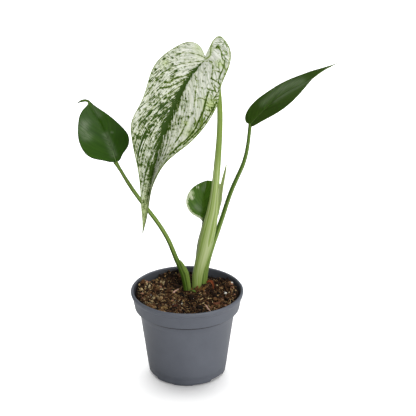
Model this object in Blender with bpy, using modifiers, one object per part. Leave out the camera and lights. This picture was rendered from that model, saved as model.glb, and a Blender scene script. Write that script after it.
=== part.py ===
"""Young variegated monstera in a 12 cm nursery pot.

The pot stands on the plane z = 0 with its axis on the Z axis, and the plant's best side faces -Y.
Blender works in metres. The design dimensions below are in centimetres and are scaled by CM.
"""
import bpy
import bmesh
import math
import numpy as np
from mathutils import Matrix, Vector

CM = 0.01

# ---------------------------------------------------------------- driving dimensions, cm
GAP = 0.03                  # clearance between pieces that touch
POT_HEIGHT = 9.5
LIP_RADIUS = 6.0
BAND_DEPTH = 1.93           # from the lip down to the lower edge of the stacking band
BAND_BOTTOM_RADIUS = 5.6
WALL_TOP_RADIUS = 5.0
WALL_TOP_DROP = 2.75        # from the lip down to the top of the plain tapered wall
BASE_RADIUS = 4.08
WALL = 0.14
FLOOR_RECESS = 0.36         # the ring of the floor that holds the drain holes stands this high
FLOOR_THICKNESS = 0.14
PAD_RADIUS = 2.2            # flat middle of the base, which rests on the table
LIP_BEAD = 0.08             # radius of the rounded lip
BASE_CHAMFER = 0.22
POT_STEPS = 48

BAND_BOTTOM = POT_HEIGHT - BAND_DEPTH
WALL_TOP = POT_HEIGHT - WALL_TOP_DROP
RING_FLOOR = FLOOR_RECESS + FLOOR_THICKNESS      # inside of the ring that holds the drain holes

FOOT_ANGLES = (-96, 24, 144)     # degrees from +X, middle of each of the three low feet
FOOT_HALF_WIDTH = 14             # degrees
FOOT_RELIEF = 0.1                # how far the rim of the base clears the table between the feet
NOTCH_HALF_WIDTH = 16            # degrees
NOTCH_HEIGHT = 0.38
DRAIN_HOLES = 6
DRAIN_RADIUS = 0.35
DRAIN_CIRCLE = 3.0

CROWN = (0.85, 1.45)             # middle of the plant at the soil
CROWN_RADII = (1.5, 1.08)
STEM_TOP = 8.75
STEM_BOTTOM = 6.2
SOIL_LEVEL = 8.62
SOIL_RADIUS = 5.45
SOIL_EDGE_DROP = 0.12
SOIL_STEPS = 48

LEAF_THICKNESS = 0.05
SHEATH_THICKNESS = 0.08


# ---------------------------------------------------------------- scene set-up
def start_scene():
    for old in list(bpy.data.objects):
        bpy.data.objects.remove(old, do_unlink=True)
    parts = bpy.data.collections.new("potted_monstera")
    cutters = bpy.data.collections.new("cutters")
    bpy.context.scene.collection.children.link(parts)
    bpy.context.scene.collection.children.link(cutters)
    return parts, cutters


PARTS, CUTTERS = start_scene()


def material(name, colour, roughness):
    mat = bpy.data.materials.new(name)
    mat.use_nodes = True
    shader = mat.node_tree.nodes["Principled BSDF"]
    shader.inputs["Base Color"].default_value = (*colour, 1)
    shader.inputs["Roughness"].default_value = roughness
    return mat


MATERIALS = {
    "pot": material("grey polypropylene", (0.135, 0.145, 0.170), 0.55),
    "soil": material("peat potting mix", (0.050, 0.028, 0.016), 0.95),
    "stalk": material("pale petiole green", (0.28, 0.38, 0.13), 0.45),
    "green_stalk": material("dark petiole green", (0.10, 0.20, 0.03), 0.45),
    "variegated": material("variegated leaf", (0.46, 0.53, 0.36), 0.40),
    "green_leaf": material("glossy green leaf", (0.05, 0.12, 0.02), 0.30),
    "husk": material("dry brown husk", (0.24, 0.09, 0.03), 0.80),
    "bark": material("composted bark", (0.17, 0.07, 0.035), 0.85),
    "perlite": material("perlite", (0.75, 0.71, 0.64), 0.80),
}


def own_material(name, look):
    """A copy of the look's material that carries the piece's name."""
    own = MATERIALS[look].copy()
    own.name = name
    return own


def add_mesh(name, shape, look, collection=PARTS):
    """A new object from a bmesh in cm."""
    mesh = bpy.data.meshes.new(name)
    shape.transform(Matrix.Scale(CM, 4))
    shape.to_mesh(mesh)
    shape.free()
    obj = bpy.data.objects.new(name, mesh)
    collection.objects.link(obj)
    if collection is CUTTERS:
        obj.display_type = "WIRE"
        obj.hide_render = True
    else:
        mesh.materials.append(own_material(name, look))
        mesh.shade_smooth()
        mesh.set_sharp_from_angle(angle=math.radians(35))
    return obj


def cut(target, cutter):
    tool = target.modifiers.new("cut by " + cutter.name, "BOOLEAN")
    tool.operation = "DIFFERENCE"
    tool.object = cutter


# ---------------------------------------------------------------- smooth curves
def smooth_curve(points, places):
    """Natural cubic spline through the points, read at places from 0 to 1 along it."""
    points = np.array(points, float)
    steps = np.linalg.norm(np.diff(points, axis=0), axis=1)
    knots = np.concatenate(([0.0], np.cumsum(steps))) / steps.sum()
    count = len(knots)
    span = np.diff(knots)
    matrix = np.eye(count)
    right = np.zeros_like(points)
    for i in range(1, count - 1):
        matrix[i, i - 1:i + 2] = span[i - 1], 2 * (span[i - 1] + span[i]), span[i]
        after, before = (points[i + 1] - points[i]) / span[i], (points[i] - points[i - 1]) / span[i - 1]
        right[i] = 3 * (after - before)
    bend = np.linalg.solve(matrix, right)
    places = np.clip(places, 0, 1)
    i = np.clip(np.searchsorted(knots, places, side="right") - 1, 0, count - 2)
    x = (places - knots[i])[:, None]
    width = span[i][:, None]
    slope = (points[i + 1] - points[i]) / width - width * (2 * bend[i] + bend[i + 1]) / 3
    cubic = (bend[i + 1] - bend[i]) / (3 * width)
    return points[i] + x * (slope + x * (bend[i] + x * cubic))


def soil_height(x, y):
    """Top of the soil: a mound round the crown, a heap at the back left, and a low back right."""
    swells = [(*CROWN, 0.42, 6.0), (-2.8, 3.8, 0.40, 5.0), (3.6, 3.6, -0.15, 4.0)]
    return SOIL_LEVEL + sum(rise * math.exp(-((x - x0) ** 2 + (y - y0) ** 2) / spread)
                            for x0, y0, rise, spread in swells)


# ---------------------------------------------------------------- pot
def pot_profile():
    """(radius, height) from the axis up the inside, over the lip, and down the outside."""
    inside = [
        (0, FLOOR_THICKNESS), (PAD_RADIUS - 0.1, FLOOR_THICKNESS), (PAD_RADIUS + 0.15, RING_FLOOR),
        (BASE_RADIUS - 0.5, RING_FLOOR), (BASE_RADIUS - WALL, RING_FLOOR + 0.16),
        (WALL_TOP_RADIUS - WALL, WALL_TOP + 0.05), (BAND_BOTTOM_RADIUS - WALL, BAND_BOTTOM + 0.05),
        (LIP_RADIUS - 0.22, POT_HEIGHT - 0.15)]
    lip = [(LIP_RADIUS + LIP_BEAD * (math.cos(math.radians(a)) - 1),
            POT_HEIGHT + LIP_BEAD * (math.sin(math.radians(a)) - 1)) for a in (160, 110, 60, 10, -40)]
    outside = [
        (LIP_RADIUS - 0.1, POT_HEIGHT - 0.22), (BAND_BOTTOM_RADIUS, BAND_BOTTOM),
        (WALL_TOP_RADIUS, WALL_TOP), (BASE_RADIUS, BASE_CHAMFER), (BASE_RADIUS - 0.06, 0.04),
        (BASE_RADIUS - 0.14, 0), (BASE_RADIUS - 0.34, 0), (BASE_RADIUS - 0.42, FLOOR_RECESS),
        (PAD_RADIUS + 0.25, FLOOR_RECESS), (PAD_RADIUS, 0), (0, 0)]
    return inside + lip + outside


def edge_cutter(name, middle, half_width, height):
    """A bent block that takes the foot of the wall away between two angles."""
    shape = bmesh.new()
    bmesh.ops.create_cube(shape, size=2)
    round_edges = [e for e in shape.edges if abs(e.verts[0].co.x - e.verts[1].co.x) > 1]
    bmesh.ops.subdivide_edges(shape, edges=round_edges, cuts=5, use_grid_fill=True)
    for vert in shape.verts:
        angle = math.radians(middle - half_width * vert.co.x)
        radius = BASE_RADIUS + 0.4 if vert.co.y > 0 else BASE_RADIUS - 0.5
        z = height if vert.co.z > 0 else -0.5
        vert.co = (radius * math.cos(angle), radius * math.sin(angle), z)
    return add_mesh(name, shape, None, CUTTERS)


def hole_cutter(name, x, y, radius, z_low, z_high, radius_y=None):
    shape = bmesh.new()
    bmesh.ops.create_cone(shape, cap_ends=True, segments=24, radius1=radius, radius2=radius,
                          depth=z_high - z_low)
    bmesh.ops.scale(shape, verts=shape.verts[:], vec=(1, (radius_y or radius) / radius, 1))
    bmesh.ops.translate(shape, verts=shape.verts[:], vec=(x, y, (z_low + z_high) / 2))
    return add_mesh(name, shape, None, CUTTERS)


def build_pot():
    shape = bmesh.new()
    ring = [shape.verts.new((radius, 0, z)) for radius, z in pot_profile()]
    for start, end in zip(ring, ring[1:]):
        shape.edges.new((start, end))
    pot = add_mesh("pot", shape, "pot")
    turn = pot.modifiers.new("turn", "SCREW")
    turn.steps = POT_STEPS
    turn.render_steps = POT_STEPS
    turn.use_merge_vertices = True
    turn.merge_threshold = 0.00005
    for number, foot in enumerate(FOOT_ANGLES, 1):
        between = foot + 60
        cut(pot, edge_cutter(f"foot_relief_{number}", between, 60 - FOOT_HALF_WIDTH, FOOT_RELIEF))
        cut(pot, edge_cutter(f"drain_notch_{number}", between, NOTCH_HALF_WIDTH, NOTCH_HEIGHT))
    for number in range(DRAIN_HOLES):
        angle = math.radians(FOOT_ANGLES[0] + 30 + 360 / DRAIN_HOLES * number)
        cut(pot, hole_cutter(f"drain_hole_{number + 1}", DRAIN_CIRCLE * math.cos(angle),
                             DRAIN_CIRCLE * math.sin(angle), DRAIN_RADIUS, FLOOR_RECESS - 0.16,
                             RING_FLOOR + 0.3))


# ---------------------------------------------------------------- soil and buried stem
def build_soil():
    middle_floor = FLOOR_THICKNESS + GAP
    floor = RING_FLOOR + GAP + 0.01
    profile = [
        (0, middle_floor), (PAD_RADIUS - 0.14, middle_floor), (PAD_RADIUS + 0.1, floor),
        (BASE_RADIUS - 0.6, floor), (BASE_RADIUS - WALL - 0.07, floor + 0.23),
        (WALL_TOP_RADIUS - WALL - 0.06, WALL_TOP + 0.05),
        (BAND_BOTTOM_RADIUS - WALL - 0.1, BAND_BOTTOM + 0.02),
        (SOIL_RADIUS, SOIL_LEVEL - SOIL_EDGE_DROP)]
    top = [(radius, SOIL_LEVEL) for radius in np.linspace(SOIL_RADIUS - 0.3, 0, 7)]
    shape = bmesh.new()
    ring = [shape.verts.new((radius, 0, z)) for radius, z in profile + top]
    for start, end in zip(ring, ring[1:]):
        shape.edges.new((start, end))
    bmesh.ops.spin(shape, geom=shape.verts[:] + shape.edges[:], cent=(0, 0, 0), axis=(0, 0, 1),
                   angle=2 * math.pi, steps=SOIL_STEPS, use_merge=True)
    bmesh.ops.remove_doubles(shape, verts=shape.verts[:], dist=0.001)
    for vert in shape.verts:
        if vert.co.z > SOIL_LEVEL - 0.01:
            vert.co.z = soil_height(vert.co.x, vert.co.y)
    bmesh.ops.recalc_face_normals(shape, faces=shape.faces[:])
    soil = add_mesh("soil", shape, "soil")
    room = GAP + 0.02
    cut(soil, hole_cutter("crown_socket", *CROWN, CROWN_RADII[0] + room, STEM_BOTTOM - room, POT_HEIGHT,
                          CROWN_RADII[1] + room))


def build_stem():
    """The short rootstock in the soil, which every petiole grows from."""
    shape = bmesh.new()
    bmesh.ops.create_cone(shape, cap_ends=True, segments=24, radius1=0.6 * CROWN_RADII[0],
                          radius2=CROWN_RADII[0], depth=STEM_TOP - STEM_BOTTOM)
    rims = [edge for edge in shape.edges if edge.calc_face_angle() > 1]
    bmesh.ops.bevel(shape, geom=rims, offset=0.12, segments=2, profile=0.5, affect="EDGES", material=-1)
    bmesh.ops.scale(shape, verts=shape.verts[:], vec=(1, CROWN_RADII[1] / CROWN_RADII[0], 1))
    bmesh.ops.translate(shape, verts=shape.verts[:], vec=(*CROWN, (STEM_TOP + STEM_BOTTOM) / 2))
    add_mesh("buried_stem", shape, "green_stalk")


# ---------------------------------------------------------------- petioles and sheaths
# Each point is (x, y, z, radius), from the stem up to the blade.
MAIN_PETIOLE = [
    (0.95, 1.30, 8.86, 0.43), (1.10, 1.50, 11.1, 0.50), (1.60, 1.70, 13.3, 0.60), (2.10, 1.80, 15.5, 0.60),
    (2.60, 1.90, 17.8, 0.50), (3.00, 2.00, 20.8, 0.40), (3.20, 2.10, 23.1, 0.36), (3.40, 2.20, 26.1, 0.31),
    (3.42, 2.30, 29.6, 0.285), (3.20, 2.30, 32.0, 0.28), (2.75, 2.05, 34.0, 0.26), (2.14, 1.42, 34.94, 0.15)]
RIGHT_PETIOLE = [
    (1.80, 1.50, 8.86, 0.34), (2.00, 1.75, 11.0, 0.33), (2.55, 2.15, 13.1, 0.29), (3.45, 2.45, 16.0, 0.26),
    (4.80, 2.60, 20.5, 0.22), (5.90, 2.70, 23.1, 0.20), (6.45, 2.90, 25.9, 0.175), (6.60, 3.00, 27.1, 0.13)]
LEFT_PETIOLE = [
    (0.05, 1.15, 8.86, 0.28), (-0.40, 1.02, 11.0, 0.25), (-1.08, 0.90, 12.6, 0.21), (-1.70, 0.60, 14.6, 0.20),
    (-3.20, 0.20, 17.5, 0.19), (-4.90, -0.20, 20.0, 0.18), (-6.20, -0.50, 22.3, 0.16),
    (-7.26, -0.58, 24.27, 0.09)]
SMALL_PETIOLE = [
    (0.75, 2.18, 8.86, 0.14), (0.80, 2.45, 10.6, 0.14), (0.90, 2.60, 12.3, 0.13), (1.40, 2.70, 14.5, 0.12),
    (1.62, 2.70, 16.2, 0.08)]


def add_tube(name, look, places, radii, resolution):
    """A round rod with flat ends through places, with its own radius at each."""
    curve = bpy.data.curves.new(name, "CURVE")
    curve.dimensions = "3D"
    curve.bevel_depth = CM
    curve.bevel_resolution = resolution
    curve.use_fill_caps = True
    spline = curve.splines.new("POLY")
    spline.points.add(len(places) - 1)
    for point, (x, y, z), radius in zip(spline.points, places, radii):
        point.co = (x * CM, y * CM, z * CM, 1)
        point.radius = radius
    spline.use_smooth = True
    curve.materials.append(own_material(name, look))
    PARTS.objects.link(bpy.data.objects.new(name, curve))


def build_petiole(name, route, look, resolution=3, count=22):
    path = smooth_curve([point[:3] for point in route], np.linspace(0, 1, count))
    radii = np.interp(path[:, 2], [point[2] for point in route], [point[3] for point in route])
    add_tube(name, look, path, radii, resolution)


def strip(name, look, place, along, across, thickness):
    """A thin closed shell over place(u, v), for u from -1 to 1 across and v from 0 to 1 along."""
    shape = bmesh.new()
    bmesh.ops.create_grid(shape, x_segments=across, y_segments=along, size=1)
    for vert in shape.verts:
        vert.co = place(vert.co.x, (vert.co.y + 1) / 2)
    bmesh.ops.remove_doubles(shape, verts=shape.verts[:], dist=0.004)
    obj = add_mesh(name, shape, look)
    skin = obj.modifiers.new("thickness", "SOLIDIFY")
    skin.thickness = thickness * CM
    skin.offset = 0
    return obj


def build_sheath(name, look, route, stations):
    """A sheath that clasps a petiole. A station is (height, middle angle, half angle, clearance)."""
    route = np.array(route)
    stations = np.array(stations)

    def place(u, v):
        z = stations[0, 0] + v * (stations[-1, 0] - stations[0, 0])
        x, y, radius = (np.interp(z, route[:, 2], route[:, k]) for k in (0, 1, 3))
        middle, half, clear = (np.interp(z, stations[:, 0], stations[:, k]) for k in (1, 2, 3))
        angle = math.radians(middle + half * u)
        reach = radius + GAP + SHEATH_THICKNESS / 2 + clear
        return Vector((x + reach * math.cos(angle), y + reach * math.sin(angle), z))

    return strip(name, look, place, 14, 6, SHEATH_THICKNESS)


def build_stalks():
    build_petiole("main_petiole", MAIN_PETIOLE, "stalk", resolution=4, count=30)
    build_petiole("right_petiole", RIGHT_PETIOLE, "green_stalk")
    build_petiole("left_petiole", LEFT_PETIOLE, "green_stalk")
    build_petiole("small_petiole", SMALL_PETIOLE, "green_stalk", count=16)
    build_sheath("main_sheath", "stalk", MAIN_PETIOLE, [
        (13.6, -42, 14, 0.02), (16.0, -28, 40, 0.02), (18.5, -10, 45, 0.03), (20.2, 0, 30, 0.05),
        (21.2, 0, 18, 0.28), (22.0, 0, 8, 0.48), (22.9, 0, 1, 0.55)])
    build_sheath("right_sheath", "green_stalk", MAIN_PETIOLE, [
        (8.8, 90, 38, 0.02), (10.8, 95, 42, 0.02), (12.2, 92, 28, 0.03), (12.9, 88, 4, 0.05)])
    wing = [(x + 0.26, y, z, 0.23) for x, y, z, _ in LEFT_PETIOLE[:4]]
    build_sheath("left_sheath", "green_stalk", wing, [
        (8.86, -72, 27, 0.0), (10.6, -48, 54, 0.02), (12.0, -60, 42, 0.0), (12.6, -72, 12, -0.04)])


# ---------------------------------------------------------------- leaves
class Leaf:
    """A blade along a rib in space.

    right and left are the margins, as (along, across) distances from the sinus, on the blade's own
    right and left when its upper face is seen with the tip pointing away. facing is the way the
    upper face looks. fold is how far a side rises for each centimetre across, in even steps from
    sinus to tip, and lobe how far it rises behind the sinus for each square centimetre.
    """

    def __init__(self, rib, right, left, facing, fold, lobe=(0, 0), vein_sweep=1.5):
        samples = np.linspace(0, 1, 200)
        self.rib = smooth_curve(rib, samples)
        steps = np.linalg.norm(np.diff(self.rib, axis=0), axis=1)
        self.reach = np.concatenate(([0.0], np.cumsum(steps)))
        self.length = self.reach[-1]
        slope = np.gradient(self.rib, axis=0)
        self.slope = slope / np.linalg.norm(slope, axis=1)[:, None]
        self.facing = np.array(facing, float)
        self.margins = [[(0, 0)] + list(side) + [(self.length, 0)] for side in (right, left)]
        self.fold = fold
        self.lobe = lobe
        self.vein_sweep = vein_sweep

    def place(self, side, along, across):
        """The point on one side (0 right, 1 left) at distances along and across."""
        on_rib = min(max(along, 0), self.length)
        origin = np.array([np.interp(on_rib, self.reach, self.rib[:, k]) for k in range(3)])
        forward = np.array([np.interp(on_rib, self.reach, self.slope[:, k]) for k in range(3)])
        forward /= np.linalg.norm(forward)
        sideways = np.cross(forward, self.facing)
        sideways /= np.linalg.norm(sideways)
        normal = np.cross(sideways, forward)
        profile = self.fold[side]
        steps = np.linspace(0, 1, len(profile))
        rise = np.interp(on_rib / self.length, steps, profile) * max(across, 0)
        behind = min(along, 0)
        rise += self.lobe[side] * behind ** 2
        turn = 1 if side == 0 else -1
        return origin + turn * across * sideways + rise * normal + behind * forward

    def vein_point(self, side, across, along):
        """The point at a share of the way along a lateral vein, from the rib out to the margin."""
        start = self.length * along ** self.vein_sweep
        end, out = smooth_curve(self.margins[side], [along])[0]
        middle = start + 0.35 * (end - start)
        back = 1 - across
        return self.place(side, back * back * start + 2 * across * back * middle + across * across * end,
                          across * out)

    def build(self, name, look, veins, across):
        def place(u, v):
            return Vector(self.vein_point(0 if u > 0 else 1, abs(u), v))
        strip(name, look, place, veins, 2 * across, LEAF_THICKNESS)


def build_leaves():
    viewer = (0, -0.915, 0.4035)
    main = Leaf(
        rib=[(2.0, 1.2, 35.1), (0.4, 0.3, 33.4), (-1.0, -1.0, 31.1), (-2.7, -3.1, 27.0), (-3.7, -4.4, 23.1),
             (-4.5, -5.0, 18.3)],
        right=[(-0.4, 0.8), (-0.5, 1.7), (0.3, 2.7), (1.2, 3.1), (3.2, 3.7), (5.2, 3.45), (7.2, 3.35),
               (9.0, 3.5), (10.1, 3.1), (11.6, 2.3), (13.2, 1.5), (14.5, 1.05), (16.5, 0.6), (18.5, 0.15)],
        left=[(-0.4, 0.15), (-1.1, -0.25), (-2.4, -0.6), (-3.0, -0.4), (-2.9, 0.15), (-2.2, 1.45),
              (-1.0, 2.3), (0.7, 2.9), (3.0, 3.75), (5.0, 3.9), (7.8, 3.3), (9.8, 2.3), (11.3, 1.25),
              (13.1, 0.5), (14.7, 0.2), (17.0, 0.2), (18.5, 0.12)],
        facing=viewer,
        fold=((0.25, 0.25, 0.3, 0.35, 0.5, 0.5, 0.5), (0.2, 0.2, 0.3, 0.45, 1.8, 2.0, 0.8)),
        lobe=(-0.35, -0.12))
    main.build("main_leaf", "variegated", 34, 5)
    left = Leaf(
        rib=[(-7.3, -0.5, 24.4), (-7.7, 0.4, 25.3), (-8.2, 1.3, 26.2), (-9.1, 2.9, 27.5), (-10.0, 4.4, 28.6),
             (-10.4, 5.0, 29.0), (-11.0, 5.3, 28.9), (-11.6, 5.5, 28.6)],
        right=[(0.0, 0.3), (0.5, 0.8), (1.2, 1.65), (2.0, 2.1), (3.4, 1.9), (5.2, 1.2), (6.8, 0.5),
               (7.6, 0.15), (8.4, 0.1)],
        left=[(-0.1, 0.5), (0.2, 1.1), (1.0, 2.4), (2.6, 3.0), (4.4, 2.7), (6.0, 1.9), (6.9, 1.0),
              (7.6, 0.2), (8.4, 0.1)],
        facing=(0.1, -0.7, 0.7),
        fold=((0.2,), (0.2,)))
    left.build("left_leaf", "green_leaf", 20, 4)
    right = Leaf(
        rib=[(6.6, 3.0, 27.2), (8.4, 3.7, 28.9), (10.5, 4.7, 30.2), (12.9, 5.9, 31.1), (14.2, 6.4, 31.9),
             (16.0, 7.0, 32.6)],
        right=[(-0.1, 0.4), (0.6, 0.95), (1.7, 1.5), (2.7, 1.95), (4.1, 2.1), (5.6, 1.65), (7.1, 0.8),
               (8.4, 0.2), (10.4, 0.05)],
        left=[(-0.15, 0.4), (0.0, 0.9), (0.6, 1.4), (1.8, 1.65), (3.6, 1.5), (5.8, 1.4), (7.3, 1.3),
              (8.5, 0.95), (9.8, 0.35), (10.8, 0.1)],
        facing=(0, -0.2, 1),
        fold=((0.12,), (0.12,)))
    right.build("right_leaf", "green_leaf", 22, 4)
    small = Leaf(
        rib=[(1.6, 2.7, 16.3), (1.7, 3.1, 17.6), (1.8, 3.7, 18.7), (2.0, 4.3, 19.6), (2.1, 4.7, 20.1)],
        right=[(0.2, 0.25), (0.55, 1.0), (1.4, 1.75), (2.5, 1.95), (3.5, 1.75), (4.3, 1.1)],
        left=[(0.2, 0.25), (0.55, 1.0), (1.4, 1.72), (2.2, 1.83), (3.1, 1.45), (3.9, 0.75)],
        facing=(0, -0.8, 0.6),
        fold=((0.1,), (0.1,)))
    small.build("small_leaf", "green_leaf", 14, 3)


# ---------------------------------------------------------------- husks and loose pieces on the soil
def build_husks():
    """The dry curled scale, the withered sheath stump and the bud beside the crown."""
    def scale_place(u, v):
        bow = math.radians(150 * v - 10)
        return Vector((2.62 + 0.34 * math.sin(bow), 1.55 + 0.2 * u + 0.25 * v, 9.16 + 0.8 * v + 0.06 * u * u))

    def stump_place(u, v):
        angle = math.radians(-98 + 34 * u * (1 - 0.5 * v))
        reach = 0.58 + 0.10 * v
        return Vector((1.02 + reach * math.cos(angle), 1.36 + reach * math.sin(angle), 9.12 + 0.55 * v))

    strip("dry_scale", "husk", scale_place, 8, 4, 0.05)
    strip("withered_sheath", "husk", stump_place, 6, 6, 0.05)
    bud_base = soil_height(0.72, 0.25) + GAP + 0.12
    build_petiole("bud", [(0.72, 0.20, bud_base, 0.10), (0.66, 0.27, bud_base + 0.25, 0.12),
                          (0.56, 0.34, bud_base + 0.55, 0.03)], "stalk", count=8)


def build_lump(name, look, x, y, size, turn, seed):
    """A crumb, chip or grain: a rough ball stretched to size and laid just clear of the soil."""
    rough = np.random.default_rng(seed)
    shape = bmesh.new()
    bmesh.ops.create_icosphere(shape, subdivisions=1, radius=0.5)
    for vert in shape.verts:
        vert.co *= 1 + rough.uniform(-0.16, 0.16)
    bmesh.ops.scale(shape, verts=shape.verts[:], vec=size)
    bmesh.ops.rotate(shape, verts=shape.verts[:], matrix=Matrix.Rotation(math.radians(turn), 3, "Z"))
    lowest = min(vert.co.z for vert in shape.verts)
    under = max(soil_height(x + vert.co.x, y + vert.co.y) for vert in shape.verts)
    bmesh.ops.translate(shape, verts=shape.verts[:], vec=(x, y, under - lowest + 2 * GAP))
    add_mesh(name, shape, look)


def build_loose_pieces():
    lumps = [
        ("bark_chip_1", "bark", 3.30, -2.00, (1.30, 0.55, 0.26), 8),
        ("bark_chip_2", "bark", 4.75, 0.95, (0.35, 0.60, 0.25), -15),
        ("bark_chip_3", "bark", -1.30, -2.60, (0.70, 0.50, 0.26), 40),
        ("peat_crumb_1", "husk", -3.15, 1.30, (0.60, 0.45, 0.35), 20),
        ("peat_crumb_2", "husk", -2.30, -3.20, (0.62, 0.50, 0.35), -30),
        ("peat_crumb_3", "husk", -4.20, -1.15, (0.50, 0.42, 0.34), 60),
        ("peat_crumb_4", "husk", -3.30, 3.30, (0.42, 0.36, 0.30), 0),
        ("perlite_1", "perlite", 4.10, -0.20, (0.30, 0.28, 0.26), 0),
        ("perlite_2", "perlite", 4.45, 2.40, (0.36, 0.32, 0.28), 50)]
    for seed, (name, look, x, y, size, turn) in enumerate(lumps, 1):
        build_lump(name, look, x, y, size, turn, seed)


def build_twig(name, look, start, end, radius):
    """A thin stick lying on the soil from one (x, y) to another."""
    middle = [(start[k] + end[k]) / 2 for k in range(2)]
    high = max(soil_height(*point) for point in (start, middle, end)) + 2 * GAP + radius
    arch = 0.04
    places = [(*start, high), (*middle, high + arch), (*end, high)]
    add_tube(name, look, places, (radius, radius, 0.6 * radius), 2)


build_pot()
build_soil()
build_stem()
build_stalks()
build_leaves()
build_husks()
build_loose_pieces()
build_twig("twig_1", "husk", (-1.45, 0.62), (-0.95, 1.05), 0.05)
build_twig("twig_2", "perlite", (2.05, -2.70), (2.50, -3.80), 0.05)
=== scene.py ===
"""Looks of a young variegated monstera in a grey nursery pot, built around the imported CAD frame.

Shapes are worked out in centimetres and scaled to metres by CM when their mesh is made. The pot
stands on z = 0 with its axis on the Z axis, and the plant's best side faces -Y.
"""
import math

import bmesh
import bpy
import numpy as np
from mathutils import Matrix, Vector, noise


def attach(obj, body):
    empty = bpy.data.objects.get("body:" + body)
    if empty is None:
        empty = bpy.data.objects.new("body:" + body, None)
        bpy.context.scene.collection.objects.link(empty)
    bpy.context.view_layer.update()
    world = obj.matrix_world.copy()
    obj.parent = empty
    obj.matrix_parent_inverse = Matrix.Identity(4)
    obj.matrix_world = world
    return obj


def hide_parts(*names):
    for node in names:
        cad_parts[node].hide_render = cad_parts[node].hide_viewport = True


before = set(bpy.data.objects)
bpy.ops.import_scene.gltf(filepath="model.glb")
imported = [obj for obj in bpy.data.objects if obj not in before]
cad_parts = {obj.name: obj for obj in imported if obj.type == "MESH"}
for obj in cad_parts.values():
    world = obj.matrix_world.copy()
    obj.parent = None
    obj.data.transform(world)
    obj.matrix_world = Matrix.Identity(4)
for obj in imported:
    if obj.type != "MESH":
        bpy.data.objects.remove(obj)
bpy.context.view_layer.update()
CM = 0.01


# ---- colours and shader nodes
def srgb(red, green, blue):
    """A display colour from 0 to 255 as a linear one, with alpha."""
    def linear(value):
        value /= 255
        return value / 12.92 if value <= 0.04045 else ((value + 0.055) / 1.055) ** 2.4
    return (linear(red), linear(green), linear(blue), 1.0)


class Tree:
    """Adds nodes to a node tree. Most methods give back the new node's output socket."""

    def __init__(self, tree, built=None, ends=None):
        self.tree, self.built, self.ends = tree, built, ends

    def finish(self, **values):
        """Links the values to the end's sockets. Gives back what was built."""
        for label, value in values.items():
            self.tree.links.new(value, self.ends[label.replace("_", " ")])
        return self.built

    def node(self, kind, feeds, **settings):
        """A new node. feeds holds a link or a value for each input, by name or number."""
        node = self.tree.nodes.new(kind)
        for name, value in settings.items():
            setattr(node, name, value)
        for place, value in feeds.items():
            if isinstance(value, bpy.types.NodeSocket):
                self.tree.links.new(value, node.inputs[place])
            else:
                node.inputs[place].default_value = value
        return node

    def add(self, kind, feeds=None, out=0, **settings):
        return self.node(kind, feeds or {}, **settings).outputs[out]

    def group(self, built, **feeds):
        """A shader group's outputs."""
        return self.node("ShaderNodeGroup", feeds, node_tree=built).outputs

    def math(self, operation, first, second, third=0.0):
        return self.add("ShaderNodeMath", {0: first, 1: second, 2: third}, operation=operation)

    def times(self, first, second):
        return self.math("MULTIPLY", first, second)

    def sway(self, value, pattern, weight):
        """The value moved up and down by a pattern around 0.5."""
        return self.math("MULTIPLY_ADD", self.math("SUBTRACT", pattern, 0.5), weight, value)

    def step(self, value, low, high, start=0.0, end=1.0):
        """A smooth step from start to end as the value goes from low to high."""
        return self.add("ShaderNodeMapRange", {0: value, 1: low, 2: high, 3: start, 4: end},
                        interpolation_type="SMOOTHSTEP")

    def coats(self, colour, *coats):
        """A colour with each (share, colour) coat laid over it in turn."""
        for share, coat in coats:
            colour = self.add("ShaderNodeMix", {0: share, 6: colour, 7: coat}, out=2, data_type="RGBA")
        return colour

    def noise(self, vector, scale, detail=2.0, roughness=0.5, distortion=0.0):
        return self.add("ShaderNodeTexNoise", {"Vector": vector, "Scale": scale, "Detail": detail,
                                               "Roughness": roughness, "Distortion": distortion})

    def ramp(self, value, *stops):
        """Colours between (place, colour) stops."""
        node = self.node("ShaderNodeValToRGB", {0: value})
        elements = node.color_ramp.elements
        while len(elements) < len(stops):
            elements.new(0.5)
        for element, (place, colour) in zip(elements, stops):
            element.position, element.color = place, colour
        return node.outputs[0]

    def stretch(self, vector, scale, shift=(0, 0, 0)):
        return self.add("ShaderNodeMapping", {"Vector": vector, "Scale": scale, "Location": shift})

    def bump(self, height, strength, distance):
        return self.add("ShaderNodeBump", {"Height": height, "Strength": strength, "Distance": distance})

    def flow(self):
        return self.add("ShaderNodeAttribute", out="Vector", attribute_name="flow")

    def value_of(self, name):
        return self.add("ShaderNodeAttribute", out="Fac", attribute_name=name)

    def place(self):
        return self.add("ShaderNodeTexCoord", out="Object")


class Group(Tree):
    """A shader group, with its inputs as source. Flow is a vector, and every other socket is a value."""

    def __init__(self, name, inputs, outputs):
        built = bpy.data.node_groups.new(name, "ShaderNodeTree")
        for way, labels in (("INPUT", inputs), ("OUTPUT", outputs)):
            for label in labels:
                kind = "NodeSocketVector" if label == "Flow" else "NodeSocketFloat"
                built.interface.new_socket(label, in_out=way, socket_type=kind)
        self.source = built.nodes.new("NodeGroupInput").outputs
        super().__init__(built, built, built.nodes.new("NodeGroupOutput").inputs)


class Look(Tree):
    """A material, with constants on its Principled shader's own sockets."""

    def __init__(self, name, **constants):
        built = bpy.data.materials.new(name)
        built.use_nodes = True
        super().__init__(built.node_tree, built, built.node_tree.nodes["Principled BSDF"].inputs)
        for label, value in constants.items():
            self.ends[label.replace("_", " ")].default_value = value


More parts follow.
